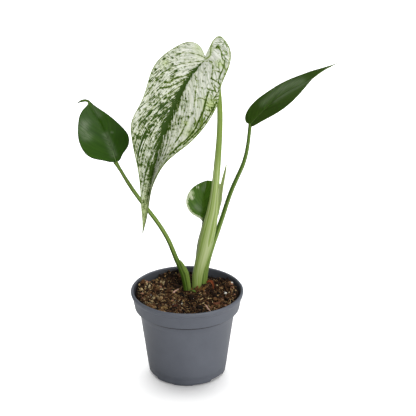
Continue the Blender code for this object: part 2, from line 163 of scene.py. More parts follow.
# ---- shared effects
def leaf_skin_group():
    """Fine cell relief and gloss breakup of a living leaf."""
    skin = Group("leaf skin", ("Flow",), ("Height", "Gloss"))
    place = skin.place()
    cells = skin.noise(place, 900, 3, 0.6)
    ribs = skin.noise(skin.stretch(skin.source["Flow"], (0.6, 3.0, 1.0)), 2.0, 4, 0.55)
    swell = skin.noise(place, 60)
    height = skin.math("ADD", skin.times(cells, 0.12), skin.times(ribs, 0.7))
    return skin.finish(Height=skin.math("MULTIPLY_ADD", swell, 0.5, height), Gloss=skin.step(swell, 0.3, 0.7))


def variegation_group():
    """Green on cream: noise drawn out along the veins breaks the ink into flecks, and Line stays whole."""
    leaf = Group("variegation", ("Ink", "Line", "Flow"), ("Green", "Halo", "Deep"))
    flow, place = leaf.source["Flow"], leaf.place()
    streaks = leaf.noise(leaf.stretch(flow, (1.1, 3.0, 1.0)), 1.0, 2, 0.55, 1.2)
    flecks = leaf.noise(leaf.stretch(flow, (3.6, 6.5, 1.0), (7, 3, 1)), 1.0, 2, 0.6, 0.6)
    specks = leaf.noise(place, 360)
    threads = leaf.noise(leaf.stretch(flow, (1.3, 2.4, 1.0), (3, 9, 4)), 1.0, 2, 0.5, 1.0)
    threads = leaf.step(leaf.math("ABSOLUTE", leaf.math("SUBTRACT", threads, 0.5), 0.0), 0.0, 0.06, 1.0, 0.3)
    level, line = leaf.source["Ink"], leaf.source["Line"]
    for pattern, weight in ((streaks, 2.0), (flecks, 1.8), (specks, 1.6), (threads, 0.55),
                            (leaf.noise(place, 130), 1.0)):
        level = leaf.sway(level, pattern, weight)
    for pattern, weight in ((flecks, 1.3), (specks, 1.5)):
        line = leaf.sway(line, pattern, weight)
    # (low, high) of the level and of the line at which each output comes in
    bands = {"Green": (0.47, 0.54, 0.45, 0.58), "Halo": (0.26, 0.5, 0.15, 0.5), "Deep": (0.55, 0.8, 0.75, 1)}
    return leaf.finish(**{label: leaf.math("MAXIMUM", leaf.step(level, *band[:2]), leaf.step(line, *band[2:]))
                          for label, band in bands.items()})


def vein_net_group():
    """Thin cross veins between the laterals, as the borders of long cells that come and go."""
    net = Group("vein net", ("Flow",), ("Lines",))
    flow = net.source["Flow"]
    bent = net.add("ShaderNodeVectorMath", {0: flow, 1: net.noise(flow, 1.3)}, operation="ADD")
    borders = net.add("ShaderNodeTexVoronoi", {"Vector": net.stretch(bent, (1.5, 1.6, 1.0)), "Scale": 1.0},
                      feature="DISTANCE_TO_EDGE")
    shown = net.step(net.noise(flow, 0.8), 0.36, 0.52)
    return net.finish(Lines=net.times(net.step(borders, 0.04, 0.11, 1.0, 0.0), shown))


def stalk_group():
    """Fine lines along a petiole, where Flow is a unit circle and the distance along."""
    skin = Group("stalk lines", ("Flow",), ("Lines", "Fine", "Height"))
    flow = skin.source["Flow"]
    lines = skin.noise(skin.stretch(flow, (2.2, 2.2, 0.06)), 1.0)
    fine = skin.noise(skin.stretch(flow, (9.0, 9.0, 0.22)), 1.0, 3, 0.6)
    pores = skin.noise(skin.place(), 1100, 2, 0.6)
    return skin.finish(Lines=skin.step(lines, 0.3, 0.7), Fine=skin.step(fine, 0.3, 0.7),
                       Height=skin.math("MULTIPLY_ADD", pores, 0.15, skin.times(fine, 0.8)))


def mottle_group():
    """Mottling at two scales, for soil, bark and moulded plastic."""
    spots = Group("mottle", ("Coarse", "Fine"), ("Broad", "Tight"))
    place, source = spots.place(), spots.source
    return spots.finish(Broad=spots.noise(place, source["Coarse"], 3, 0.55),
                        Tight=spots.noise(place, source["Fine"], 4, 0.65))


LEAF_SKIN = leaf_skin_group()
VARIEGATION = variegation_group()
VEIN_NET = vein_net_group()
STALK_LINES = stalk_group()
MOTTLE = mottle_group()


# ---- materials
SKIN_DEPTH = 0.0004  # metres


def leaf_finish(look, flow, colour, relief, shiny, dull):
    """A leaf's material from its colour, with the skin's relief and a roughness from shiny to dull."""
    skin = look.group(LEAF_SKIN, Flow=flow)
    return look.finish(Base_Color=colour, Normal=look.bump(skin["Height"], relief, SKIN_DEPTH),
                       Roughness=look.step(skin["Gloss"], 0, 1, shiny, dull))


def variegated_leaf(name, underside=False):
    look = Look(name, Specular_IOR_Level=0.12, Subsurface_Weight=0.05,
                Subsurface_Radius=(0.004, 0.004, 0.002), Subsurface_Scale=0.5)
    flow = look.flow()
    marks = look.group(VARIEGATION, Ink=look.value_of("ink"), Line=look.value_of("line"), Flow=flow)
    tone = look.noise(look.stretch(flow, (0.6, 1.8, 1)), 1.0, 3, 0.6)
    cream = look.ramp(tone, (0.3, srgb(206, 210, 190)), (0.5, srgb(222, 225, 211)),
                      (0.7, srgb(233, 235, 228)))
    green = look.ramp(tone, (0.35, srgb(66, 86, 22)), (0.65, srgb(88, 108, 40)))
    net = look.times(look.group(VEIN_NET, Flow=flow)["Lines"], look.value_of("net"))
    # dull greys the cream, most on the blade's left half near the sinus: partly the leaf's own greyer tone,
    # partly painted shade on the half turned from the light.
    dull = look.times(look.value_of("grey"), look.step(tone, 0.42, 0.58, 1.0, 0.3))
    colour = look.coats(
        cream, (dull, srgb(180, 183, 174)),
        (look.value_of("tint"), srgb(176, 196, 116)), (net, srgb(92, 118, 44)),
        (look.times(marks["Halo"], 0.7), srgb(160, 178, 92)), (marks["Green"], green),
        (marks["Deep"], srgb(45, 70, 9)), (look.step(look.value_of("edge"), 0.25, 0.8), srgb(98, 118, 52)))
    if underside:
        colour = look.coats(colour, (0.4, srgb(160, 176, 128)))
    return leaf_finish(look, flow, colour, 0.2, 0.45, 0.6)


def green_leaf(name, dark, bright, vein, rim, underside=False):
    look = Look(name, Specular_IOR_Level=0.1, Subsurface_Weight=0.04,
                Subsurface_Radius=(0.002, 0.004, 0.001), Subsurface_Scale=0.5)
    flow = look.flow()
    tone = look.noise(look.stretch(flow, (0.35, 0.9, 1)), 1.0, 3, 0.55)
    ragged = look.math("SUBTRACT", look.noise(look.stretch(flow, (2.2, 2.0, 1)), 1.0, 3, 0.6), 0.5)
    patch = look.math("MULTIPLY_ADD", ragged, 2.0, look.value_of("patch"))
    # painted_sheen: a pale grey-green painted where highlights and sheen fall on the leaf.
    painted_sheen = look.times(look.value_of("painted_sheen"), look.step(ragged, -0.15, 0.1, 0.45, 1.0))
    colour = look.coats(
        look.ramp(tone, (0.3, dark), (0.7, bright)), (look.value_of("tint"), srgb(112, 142, 62)),
        (look.step(look.value_of("edge"), 0.3, 1.0), rim), (look.step(patch, 0.3, 0.52), srgb(112, 138, 76)),
        (look.step(patch, 0.5, 0.66), srgb(190, 198, 166)),
        (look.step(look.value_of("ink"), 0.25, 1.0), vein), (painted_sheen, srgb(122, 136, 108)))
    if underside:
        colour = look.coats(colour, (0.5, srgb(116, 140, 80)))
        return leaf_finish(look, flow, colour, 0.12, 0.5, 0.65)
    return leaf_finish(look, flow, colour, 0.12, 0.3, 0.46)


def stalk(name, deep, main, pale):
    look = Look(name, Specular_IOR_Level=0.3, Subsurface_Weight=0.06,
                Subsurface_Radius=(0.004, 0.005, 0.002), Subsurface_Scale=0.6)
    lines = look.group(STALK_LINES, Flow=look.flow())
    colour = look.coats(
        look.ramp(lines["Lines"], (0.0, deep), (0.5, main), (1.0, pale)),
        (look.times(lines["Fine"], 0.22), deep), (look.value_of("pale"), pale), (look.value_of("deep"), deep))
    return look.finish(Base_Color=colour, Normal=look.bump(lines["Height"], 0.35, SKIN_DEPTH),
                       Roughness=look.step(lines["Fine"], 0, 1, 0.38, 0.52))


def dry_husk(name, dark, light):
    look = Look(name, Roughness=0.8, Specular_IOR_Level=0.3)
    fibres = look.noise(look.stretch(look.place(), (600, 600, 120)), 1.0, 3, 0.6)
    return look.finish(Base_Color=look.ramp(fibres, (0.3, dark), (0.7, light)),
                       Normal=look.bump(fibres, 0.6, 0.0006))


def loose_mix(name, *stops):
    """Soil and its loose pieces: each piece's own shade, mottled."""
    look = Look(name, Roughness=0.9, Specular_IOR_Level=0.2)
    mottle = look.group(MOTTLE, Coarse=500.0, Fine=1300.0)
    shade = look.sway(look.sway(look.value_of("shade"), mottle["Tight"], 0.8), mottle["Broad"], 0.8)
    return look.finish(Base_Color=look.ramp(shade, *stops), Normal=look.bump(mottle["Tight"], 0.8, 0.001))


def pot_plastic():
    """Moulded grey plastic with faint turning lines, and painted shade darkening its inner wall."""
    look = Look("pot plastic", Specular_IOR_Level=0.35)
    mottle = look.group(MOTTLE, Coarse=30.0, Fine=2200.0)
    rings = look.noise(look.stretch(look.place(), (8, 8, 260)), 1.0)
    colour = look.ramp(mottle["Broad"], (0.3, srgb(96, 100, 109)), (0.7, srgb(105, 109, 118)))
    # Painted shade: the inner wall, marked by inside, is darkened almost to black.
    painted_inner_shade = look.times(look.value_of("inside"), look.step(mottle["Broad"], 0.3, 0.7, 0.75, 1.0))
    height = look.math("MULTIPLY_ADD", rings, 0.5, look.times(mottle["Tight"], 0.5))
    return look.finish(Base_Color=look.coats(colour, (painted_inner_shade, srgb(36, 34, 34))),
                       Normal=look.bump(height, 0.12, 0.0003),
                       Roughness=look.step(mottle["Broad"], 0.3, 0.7, 0.42, 0.52))


PALE_STALK = stalk("pale petiole", srgb(122, 148, 58), srgb(154, 177, 92), srgb(196, 208, 152))
SHEATH_EDGE = stalk("sheath edge", srgb(108, 128, 60), srgb(142, 160, 92), srgb(172, 184, 128))
GREEN_STALK = stalk("green petiole", srgb(54, 86, 12), srgb(96, 126, 36), srgb(142, 164, 84))


# ---- curves
def distances(points):
    """How far along a line of points each of them is."""
    return np.concatenate(([0.0], np.cumsum(np.linalg.norm(np.diff(points, axis=0), axis=1))))


def unit(rows):
    return rows / np.linalg.norm(rows, axis=1)[:, None]


def smooth_curve(points, places):
    """Natural cubic spline through the points, read at places from 0 to 1 along it."""
    knots = distances(points)
    return spline_through(knots / knots[-1], points, places)


def spline_through(knots, points, places):
    """Natural cubic spline with the points at the knots."""
    knots, points = np.array(knots, float), np.array(points, float)
    flat = points.ndim == 1
    if flat:
        points = points[:, None]
    count = len(knots)
    span = np.diff(knots)
    matrix = np.eye(count)
    right = np.zeros_like(points)
    for i in range(1, count - 1):
        matrix[i, i - 1:i + 2] = span[i - 1], 2 * (span[i - 1] + span[i]), span[i]
        after, before = (points[i + 1] - points[i]) / span[i], (points[i] - points[i - 1]) / span[i - 1]
        right[i] = 3 * (after - before)
    bend = np.linalg.solve(matrix, right)
    places = np.clip(np.asarray(places, float), knots[0], knots[-1])
    i = np.clip(np.searchsorted(knots, places, side="right") - 1, 0, count - 2)
    x = (places - knots[i])[..., None]
    width = span[i][..., None]
    slope = (points[i + 1] - points[i]) / width - width * (2 * bend[i] + bend[i + 1]) / 3
    curve = points[i] + x * (slope + x * (bend[i] + x * (bend[i + 1] - bend[i]) / (3 * width)))
    return curve[..., 0] if flat else curve


def ease(value, low, high):
    """Smooth step in numpy."""
    share = np.clip((np.asarray(value, float) - low) / (high - low), 0, 1)
    return share * share * (3 - 2 * share)


# ---- meshes
def add_object(name, data):
    added = bpy.data.objects.new(name, data)
    bpy.context.scene.collection.objects.link(added)
    return added


def make_piece(name, shape, looks, body_slot, *nodes, smooth=True):
    """An object at the origin from a bmesh in cm. It rides on the root body and stands for the nodes."""
    mesh = bpy.data.meshes.new(name)
    shape.transform(Matrix.Scale(CM, 4))
    shape.to_mesh(mesh)
    shape.free()
    for look in looks:
        mesh.materials.append(look)
    if smooth:
        mesh.shade_smooth()
    piece = add_object(name, mesh)
    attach(piece, "root")
    if nodes:
        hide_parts(*nodes)
    return piece


def solidify(piece, thickness):
    """Gives a sheet its thickness in cm. A second material goes on its underside."""
    skin = piece.modifiers.new("thickness", "SOLIDIFY")
    skin.thickness = thickness * CM
    skin.offset = 0
    skin.material_offset = len(piece.data.materials) - 1


def weld(shape, gap=0.0005):
    bmesh.ops.remove_doubles(shape, verts=shape.verts[:], dist=gap)


def sheet_mesh(columns, rows):
    """A grid from -1 to 1 across (x) and 0 to 1 along (y), and its vertices' places as an array."""
    shape = bmesh.new()
    bmesh.ops.create_grid(shape, x_segments=columns, y_segments=rows, size=1)
    return shape, np.array([(vert.co.x, (vert.co.y + 1) / 2) for vert in shape.verts])


def put(shape, points):
    for vert, point in zip(shape.verts, points):
        vert.co = point


def store(shape, **values):
    """Vertex attributes, vectors or single values."""
    for name, rows in values.items():
        rows = np.asarray(rows, float)
        layers = shape.verts.layers
        layer = layers.float_vector.new(name) if rows.ndim == 2 else layers.float.new(name)
        for vert, row in zip(shape.verts, rows):
            vert[layer] = Vector(row) if rows.ndim == 2 else float(row)


def lathe(profile, steps):
    """A closed bmesh from a profile of (radius, height) turned about the Z axis."""
    shape = bmesh.new()
    ring = [shape.verts.new((radius, 0, height)) for radius, height in profile]
    for start, end in zip(ring, ring[1:]):
        shape.edges.new((start, end))
    bmesh.ops.spin(shape, geom=shape.verts[:] + shape.edges[:], cent=(0, 0, 0), axis=(0, 0, 1),
                   angle=2 * math.pi, steps=steps, use_merge=True)
    weld(shape, 0.001)
    bmesh.ops.recalc_face_normals(shape, faces=shape.faces[:])
    return shape


def gap_to(line, flat):
    """The distance from each flat place to a line of points."""
    best = np.full(len(flat), np.inf)
    for start, end in zip(line, line[1:]):
        run = end - start
        share = np.clip(((flat - start) @ run) / max(run @ run, 1e-9), 0, 1)
        best = np.minimum(best, np.linalg.norm(flat - start - share[:, None] * run, axis=1))
    return best


def turned(points, angle, first=0, second=1):
    """Points turned by an angle in the plane of two of their axes."""
    out = points.copy()
    out[..., first] = points[..., first] * np.cos(angle) - points[..., second] * np.sin(angle)
    out[..., second] = points[..., first] * np.sin(angle) + points[..., second] * np.cos(angle)
    return out


def grain(x, y, scale, seed):
    """Smooth noise from -1 to 1 over a plane."""
    return noise.noise(Vector((x * scale, y * scale, seed)))


# ---- leaves
class Leaf:
    """A blade along a rib in space.

    right and left are the margins, as (along, across) distances from the sinus, on the blade's own
    right and left when its upper face is seen with the tip pointing away. facing is the way the
    upper face looks. fold is how far a side rises for each centimetre across, in even steps from
    sinus to tip, and lobe how far it rises behind the sinus for each square centimetre. tilt is how
    far the veins of each side run on toward the tip, as a share of the length, from rib to margin.
    """

    def __init__(self, rib, right, left, facing, fold, lobe=(0, 0), tilt=(0.25, 0.25)):
        self.rib = smooth_curve(rib, np.linspace(0, 1, 400))
        self.reach = distances(self.rib)
        self.length = self.reach[-1]
        self.slope = unit(np.gradient(self.rib, axis=0))
        self.facing = np.array(facing, float)
        self.margins = [[(0, 0)] + list(side) + [(self.length, 0)] for side in (right, left)]
        self.fold, self.lobe, self.tilt = fold, lobe, tilt

    def flat(self, side, across, along):
        """(along, across) distances of a share of the way along a lateral vein."""
        start = self.length * along ** 1.5
        ends = smooth_curve(self.margins[side], along)
        middle = start + 0.35 * (ends[:, 0] - start)
        back = 1 - across
        return np.stack([back * back * start + 2 * across * back * middle + across * across * ends[:, 0],
                         across * ends[:, 1]], 1)

    def frame_at(self, along):
        """Origin, forward, sideways and upward directions at distances along the rib."""
        origin, forward = (np.stack([np.interp(along, self.reach, course[:, k]) for k in range(3)], 1)
                           for course in (self.rib, self.slope))
        forward = unit(forward)
        sideways = unit(np.cross(forward, self.facing))
        return origin, forward, sideways, np.cross(sideways, forward)

    def place(self, side, flat):
        """Points in space for flat places on one side (0 right, 1 left)."""
        on_rib = np.clip(flat[:, 0], 0, self.length)
        origin, forward, sideways, upward = self.frame_at(on_rib)
        profile = self.fold[side]
        rise = spline_through(np.linspace(0, 1, len(profile)), profile, on_rib / self.length)
        behind = np.minimum(flat[:, 0], 0)
        up = rise * np.maximum(flat[:, 1], 0) + self.lobe[side] * behind ** 2
        turn = 1 if side == 0 else -1
        return origin + turn * flat[:, 1:] * sideways + up[:, None] * upward + behind[:, None] * forward

    def surface(self, places):
        """Points of a sheet_mesh's places, and the Spots they are."""
        spots = Spots(self, np.where(places[:, 0] > 0, 0, 1), np.abs(places[:, 0]), places[:, 1])
        points = np.zeros((len(places), 3))
        for which in (0, 1):
            here = spots.side == which
            points[here] = self.place(which, spots.flat[here])
        return points, spots


class Spots:
    """Places on a blade: side, shares across and along, flat distances, and gaps to rib and margin."""

    def __init__(self, leaf, side, across, along):
        self.leaf, self.side, self.across, self.along = leaf, side, across, along
        self.flat = np.zeros((len(side), 2))
        self.rim = np.zeros(len(side))
        for which in (0, 1):
            here = side == which
            self.flat[here] = leaf.flat(which, across[here], along[here])
            margin = smooth_curve(leaf.margins[which], np.linspace(0, 1, 90))
            self.rim[here] = gap_to(margin, self.flat[here])
        self.out = np.hypot(np.minimum(self.flat[:, 0], 0), self.flat[:, 1])
        self.sweep = along - np.where(side == 0, leaf.tilt[0], leaf.tilt[1]) * across

    def by_side(self, right, left):
        return np.where(self.side == 0, right, left)

    def profile(self, knots, right, left):
        """A value along the blade, from its own list of stops on each side."""
        return self.by_side(spline_through(knots, right, self.along), spline_through(knots, left, self.along))

    def strokes(self, drawn):
        """How strongly drawn marks cover each spot: each is (side, width, strength, path)."""
        cover = np.zeros(len(self.side))
        for which, width, strength, path in drawn:
            path = np.array(path) / 100
            course = smooth_curve(path, np.linspace(0, 1, 20)) if len(path) > 2 else path
            here = np.flatnonzero(self.side == which)
            gap = gap_to(self.leaf.flat(which, course[:, 0], course[:, 1]), self.flat[here])
            cover[here] = np.maximum(cover[here], strength / 100 * np.exp(-(gap / width * 100) ** 2))
        return cover

    def blots(self, drawn):
        """Round soft blots: each is (side, share across, share along, radius, strength)."""
        return self.strokes([(side, radius, strength, [(across, along), (across, along)])
                             for side, across, along, radius, strength in drawn])

    def ripple(self, size, seed):
        """Smooth noise from -1 to 1."""
        return np.array([grain(x / size, y / size, 1, seed) for x, y in self.flat])


LEAF_THICKNESS, SHEATH_THICKNESS, EDGE_WIDTH = 0.04, 0.06, 0.07
VEIN_SCALE = 22  # of the flow attribute along a leaf


def blade(name, leaf, looks, slot, node, grid, marks, relief):
    """A leaf blade on a grid of (columns, rows): marks and relief give each spot's colours and height."""
    shape, places = sheet_mesh(*grid)
    points, spots = leaf.surface(places)
    put(shape, points)
    shape.normal_update()
    normals = np.array([vert.normal for vert in shape.verts])
    if (normals @ leaf.facing).sum() < 0:
        bmesh.ops.reverse_faces(shape, faces=shape.faces[:])
        normals = -normals
    put(shape, points + relief(spots)[:, None] * normals)
    signed = spots.by_side(1, -1) * spots.flat[:, 1]
    store(shape, flow=np.stack([signed, VEIN_SCALE * spots.sweep, 0 * signed], 1),
          edge=np.exp(-(spots.rim / EDGE_WIDTH) ** 2), **marks(spots))
    weld(shape)
    solidify(make_piece(name, shape, looks, slot, node), LEAF_THICKNESS)


def back_rib(name, leaf, look, slot, *radii):
    """The raised midrib under a blade, from a radius at the sinus to one near the tip."""
    along = np.linspace(0.01, 0.92, 14) * leaf.length
    origin, _, _, upward = leaf.frame_at(along)
    sizes = np.linspace(*radii, len(along))
    loft(name, np.column_stack([origin - (0.08 + 0.9 * sizes)[:, None] * upward, sizes]), look, slot, [],
         rows=80, around=16)


# ---- the big variegated leaf
MAIN_LEAF = Leaf(
    rib=[(2.0, 1.2, 35.1), (0.4, 0.3, 33.4), (-1.0, -1.0, 31.1), (-2.7, -3.1, 27.0), (-3.7, -4.4, 23.1),
         (-4.5, -5.0, 18.3)],
    right=[(-0.4, 0.8), (-0.5, 1.7), (0.3, 2.7), (1.2, 3.1), (3.2, 3.7), (5.2, 3.45), (7.2, 3.35),
           (9.0, 3.5), (10.1, 3.1), (11.6, 2.3), (13.2, 1.5), (14.5, 1.05), (16.5, 0.6), (18.5, 0.15)],
    left=[(-0.4, 0.12), (-1.1, -0.32), (-2.2, -0.78), (-2.75, -0.62), (-2.85, 0.1), (-2.25, 1.42),
          (-1.0, 2.3), (0.7, 2.9), (3.0, 3.75), (5.0, 3.9), (7.8, 3.3), (9.8, 2.3), (11.3, 1.25),
          (13.1, 0.5), (14.7, 0.2), (17.0, 0.2), (18.5, 0.12)],
    facing=(0, -0.915, 0.4035),
    fold=((0.25, 0.25, 0.3, 0.35, 0.5, 0.5, 0.5), (0.2, 0.2, 0.3, 0.45, 1.8, 2.0, 0.8)),
    lobe=(-0.35, -0.12), tilt=(0.28, 0.45))

# Drawn marks: (side, width in cm, strength, [(share across, share along), ...]), all but the side in
# hundredths.
VEINS = [
    (0, 6, 67, [(0, 2), (30, 4), (41, 9), (64, 15), (80, 20)]),
    (0, 7, 72, [(0, 5), (18, 13), (40, 20), (63, 27), (81, 33), (95, 40)]),
    (0, 13, 81, [(0, 21), (18, 27), (31, 29), (43, 32), (58, 33)]),
    (0, 11, 85, [(0, 25), (14, 30), (27, 33), (41, 35), (64, 36)]),
    (0, 9, 72, [(0, 29), (15, 34), (26, 37), (48, 41), (67, 50)]),
    (0, 8, 72, [(0, 33), (16, 38), (29, 40), (41, 42)]),
    (0, 9, 72, [(30, 49), (47, 52), (65, 52)]),
    (0, 7, 54, [(78, 24), (83, 28), (91, 30)]),
    (1, 8, 90, [(71, 13), (78, 14), (78, 18), (86, 21), (86, 26), (95, 31)]),
    (1, 7, 77, [(95, 31), (96, 33), (92, 36), (85, 39)]),
    (1, 7, 68, [(99, 16), (98, 22), (97, 27), (98, 29)]),
    (1, 8, 83, [(5, 10), (30, 15), (39, 16), (55, 20), (61, 24), (67, 28)]),
    (1, 7, 83, [(60, 23), (71, 24), (80, 25)]),
    (1, 7, 98, [(67, 28), (79, 29), (88, 30), (94, 31)]),
    (1, 7, 83, [(72, 30), (79, 32), (89, 34)]),
    (1, 8, 103, [(64, 33), (72, 34), (82, 34), (92, 35)]),
    (1, 11, 103, [(70, 35), (68, 40), (73, 45), (75, 49), (80, 54), (80, 58), (76, 62), (74, 68)]),
    (1, 8, 98, [(47, 39), (57, 39), (68, 40)]),
    (1, 7, 89, [(71, 42), (81, 43), (90, 43)]),
    (1, 7, 62, [(11, 24), (30, 31), (37, 36), (45, 43)]),
    (1, 7, 89, [(60, 49), (66, 50), (73, 53)]),
    (1, 9, 103, [(95, 40), (94, 46), (92, 51), (89, 57), (86, 62)]),
    (1, 8, 83, [(47, 51), (49, 54), (51, 58), (53, 62)]),
]
# Short cross veins from the outer vein to the margin: (share along, share across, strength).
RUNGS = [(36.5, 74, 80), (38.5, 70, 70), (41, 72, 90), (44, 74, 70), (46.5, 78, 90), (50, 80, 80),
         (53, 82, 80), (57, 80, 80), (60, 78, 70), (64, 74, 70)]
VEINS += [(1, 6, strength, [(inner, along), (90, along + 0.8), (100, along - 0.4)])
          for along, inner, strength in RUNGS]
# Blots, in the same measure: (side, share across, share along, radius, strength).
DOTS = [(1, 67, 19, 12, 90), (1, 71, 21, 14, 90), (1, 42, 23, 12, 90), (1, 34, 20, 8, 70),
        (1, 41, 25, 10, 90), (1, 46, 29, 13, 90), (1, 50, 33, 12, 80), (1, 50, 47, 22, 110),
        (1, 45, 49, 18, 100), (1, 39, 49, 14, 90), (0, 31, 46, 34, 60), (0, 44, 44, 20, 60),
        (0, 62, 24, 20, 60), (0, 42, 26, 12, 60), (1, 28, 50, 25, 40)]
YELLOWED = [(1, 74, 21, 40, 70), (1, 47, 52, 35, 60), (1, 85, 42, 90, 80), (1, 75, 56, 70, 60),
            (0, 55, 6, 50, 40), (0, 85, 7, 50, 50), (0, 80, 25, 40, 40)]


def main_marks(spots):
    """Green bands and flecks over cream, with yellowed blots and margins."""
    along = spots.along
    stops = (0, 0.15, 0.25, 0.38, 0.51, 0.64, 0.72, 0.81, 0.9, 1)
    band_width = spots.profile(stops, (0.1, 0.17, 0.24, 0.34, 0.4, 0.34, 0.28, 0.2, 0.12, 0.1),
                               (0.05, 0.08, 0.12, 0.19, 0.28, 0.27, 0.22, 0.14, 0.07, 0.05))
    strength = spots.by_side(1.2, 0.95) - 0.6 * ease(along, 0.5, 0.7) - 0.3 * ease(along, 0.74, 0.86)
    outer, inner = ease(spots.across, 0.45, 0.85), 1 - ease(spots.across, 0.25, 0.5)
    stops = (0, 0.1, 0.2, 0.3, 0.4, 0.5, 0.6, 0.8, 1)
    ink = spots.profile(stops, (-0.4, -0.22, 0.18, 0.3, 0.4, 0.52, 0.62, 0.5, 0.28),
                        (-0.6, -0.5, -0.32, -0.24, -0.12, 0.04, 0.26, 0.22, 0.1))
    ink += spots.by_side(spline_through(stops, (0, 0.05, 0.1, 0.06, 0, 0, 0, 0, 0), along), 0) * outer
    ink += spots.profile(stops, (0, 0, 0.05, 0.1, 0.08, 0.05, 0, 0, 0),
                         (0, 0.1, 0.28, 0.38, 0.36, 0.26, 0.1, 0, 0)) * inner
    ink += spots.blots(DOTS) + strength * np.exp(-(spots.out / band_width) ** 2)
    ink -= 0.35 * ease(along, 0.86, 0.97)
    margin = np.exp(-(spots.rim / 0.13) ** 2)
    tint = np.maximum(spots.blots(YELLOWED), spots.by_side(0.35, 0.7) * margin)
    tip = ease(along, 0.76, 0.92)
    return {"ink": ink, "line": spots.strokes(VEINS), "tint": np.maximum(tint, 0.75 * tip),
            # grey: partly the blade's own greyer tone, partly painted shade on its left half.
            "grey": spots.by_side(0.08, 0.8 - 0.6 * ease(along, 0.1, 0.34)) * (1 - tip),
            "net": spots.by_side(0.35, 0.4 + 0.6 * outer) * ease(along, 0.02, 0.08)}


def quilting(spots, rise, folds):
    """Low swellings between the laterals."""
    return rise * (1 - np.cos(2 * math.pi * folds * spots.sweep)) * spots.across * (1 - spots.across)


def main_relief(spots):
    groove = -0.04 * np.exp(-(spots.out / 0.16) ** 2)
    held = ease(spots.along, 0.02, 0.2) * (1 - ease(spots.along, 0.75, 0.95))
    return groove + quilting(spots, 0.1, 12) * held + 0.05 * spots.ripple(2.2, 3.0) * spots.across


# ---- the three green leaves
LEFT_LEAF = Leaf(
    rib=[(-7.3, -0.5, 24.4), (-7.7, 0.4, 25.3), (-8.2, 1.3, 26.2), (-9.1, 2.9, 27.5), (-10.0, 4.4, 28.6),
         (-10.4, 5.0, 29.0), (-11.0, 5.3, 28.9), (-11.6, 5.5, 28.6)],
    right=[(0.0, 0.3), (0.5, 0.8), (1.2, 1.65), (2.0, 2.1), (3.4, 1.9), (5.2, 1.2), (6.8, 0.5),
           (7.6, 0.17), (8.4, 0.15)],
    left=[(0.04, 0.5), (0.3, 1.1), (1.0, 2.4), (2.6, 3.0), (4.4, 2.7), (6.0, 1.9), (6.9, 1.0),
          (7.6, 0.17), (8.4, 0.15)],
    facing=(0.1, -0.7, 0.7), fold=((0.1, 0.08), (0.12, 0.14)))
RIGHT_LEAF = Leaf(
    rib=[(6.6, 3.0, 27.2), (8.4, 3.7, 28.9), (10.5, 4.7, 30.2), (12.9, 5.9, 31.1), (14.2, 6.4, 31.9),
         (16.0, 7.0, 32.6)],
    right=[(-0.1, 0.4), (0.6, 0.95), (1.7, 1.5), (2.7, 1.95), (4.1, 2.1), (5.6, 1.65), (7.1, 0.8),
           (8.4, 0.2), (10.4, 0.05)],
    left=[(-0.15, 0.4), (0.0, 0.9), (0.6, 1.4), (1.8, 1.65), (3.6, 1.5), (5.8, 1.4), (7.3, 1.3),
          (8.5, 0.95), (9.8, 0.35), (10.8, 0.1)],
    facing=(0, -0.2, 1), fold=((0.12, 0.12), (0.12, 0.12)))
SMALL_LEAF = Leaf(
    rib=[(1.6, 2.7, 16.3), (1.7, 3.1, 17.6), (1.8, 3.7, 18.7), (2.0, 4.3, 19.6), (2.1, 4.7, 20.1)],
    right=[(0.2, 0.25), (0.55, 1.0), (1.4, 1.75), (2.5, 1.95), (3.5, 1.75), (4.3, 1.1)],
    left=[(0.2, 0.25), (0.55, 1.0), (1.4, 1.72), (2.2, 1.83), (3.1, 1.45), (3.9, 0.75)],
    facing=(0, -0.8, 0.6), fold=((0.1, 0.1), (0.1, 0.1)))

# Painted highlights and sheen on each green leaf, as drawn marks like the veins: pale patches painted where
# light glances off the blade, and a small white painted highlight on the left leaf.
LEFT_PAINTED_SHEEN = [(1, 55, 62, [(72, 63), (77, 55), (70, 48)]), (0, 28, 42, [(5, 18), (4, 34), (3, 50)]),
              (1, 28, 42, [(5, 18), (4, 34), (3, 50)]), (0, 35, 35, [(30, 82), (40, 70)]),
              (0, 10, 90, [(38, 47), (42, 46)])]
RIGHT_PAINTED_SHEEN = [(1, 45, 34, [(45, 33), (50, 50), (40, 70)]), (0, 35, 36, [(10, 45), (25, 62), (35, 76)])]
SMALL_PAINTED_SHEEN = [(1, 30, 50, [(5, 94), (15, 84)]), (1, 28, 60, [(40, 44), (20, 40)])]


def green_marks(spots, painted_sheen, midrib, tip):
    """A pale midrib that fades out, painted highlights and sheen, and a lighter tip."""
    return {"ink": np.exp(-(spots.out / 0.05) ** 2) * (1 - ease(spots.along, *midrib)),
            "tint": 0.7 * ease(spots.along, *tip), "patch": np.full(len(spots.out), -1.0),
            "painted_sheen": spots.strokes(painted_sheen)}


def left_marks(spots):
    return green_marks(spots, LEFT_PAINTED_SHEEN, (0.15, 0.5), (0.8, 0.95))


def right_marks(spots):
    return green_marks(spots, RIGHT_PAINTED_SHEEN, (0.2, 0.6), (0.88, 1.0))


def small_marks(spots):
    """The small leaf's cream patch and rim on its left half."""
    rim = np.exp(-(spots.rim / 0.26) ** 2) * (1 - ease(spots.along, 0.5, 0.65))
    patch = spots.blots([(1, 88, 61, 46, 100), (1, 72, 57, 32, 80), (1, 74, 78, 26, 60)])
    return {"ink": 0.3 * np.exp(-(spots.out / 0.05) ** 2), "tint": np.zeros(len(rim)),
            "patch": np.maximum(spots.by_side(0.5, 1.05) * rim, patch) - 0.05,
            # The small leaf's painted sheen: painted highlights on its blade.
            "painted_sheen": spots.strokes(SMALL_PAINTED_SHEEN)}


def green_relief(spots):
    groove = -0.05 * np.exp(-(spots.out / 0.1) ** 2)
    return groove + quilting(spots, 0.012, 8) + 0.04 * spots.ripple(1.9, 5.0) * spots.across


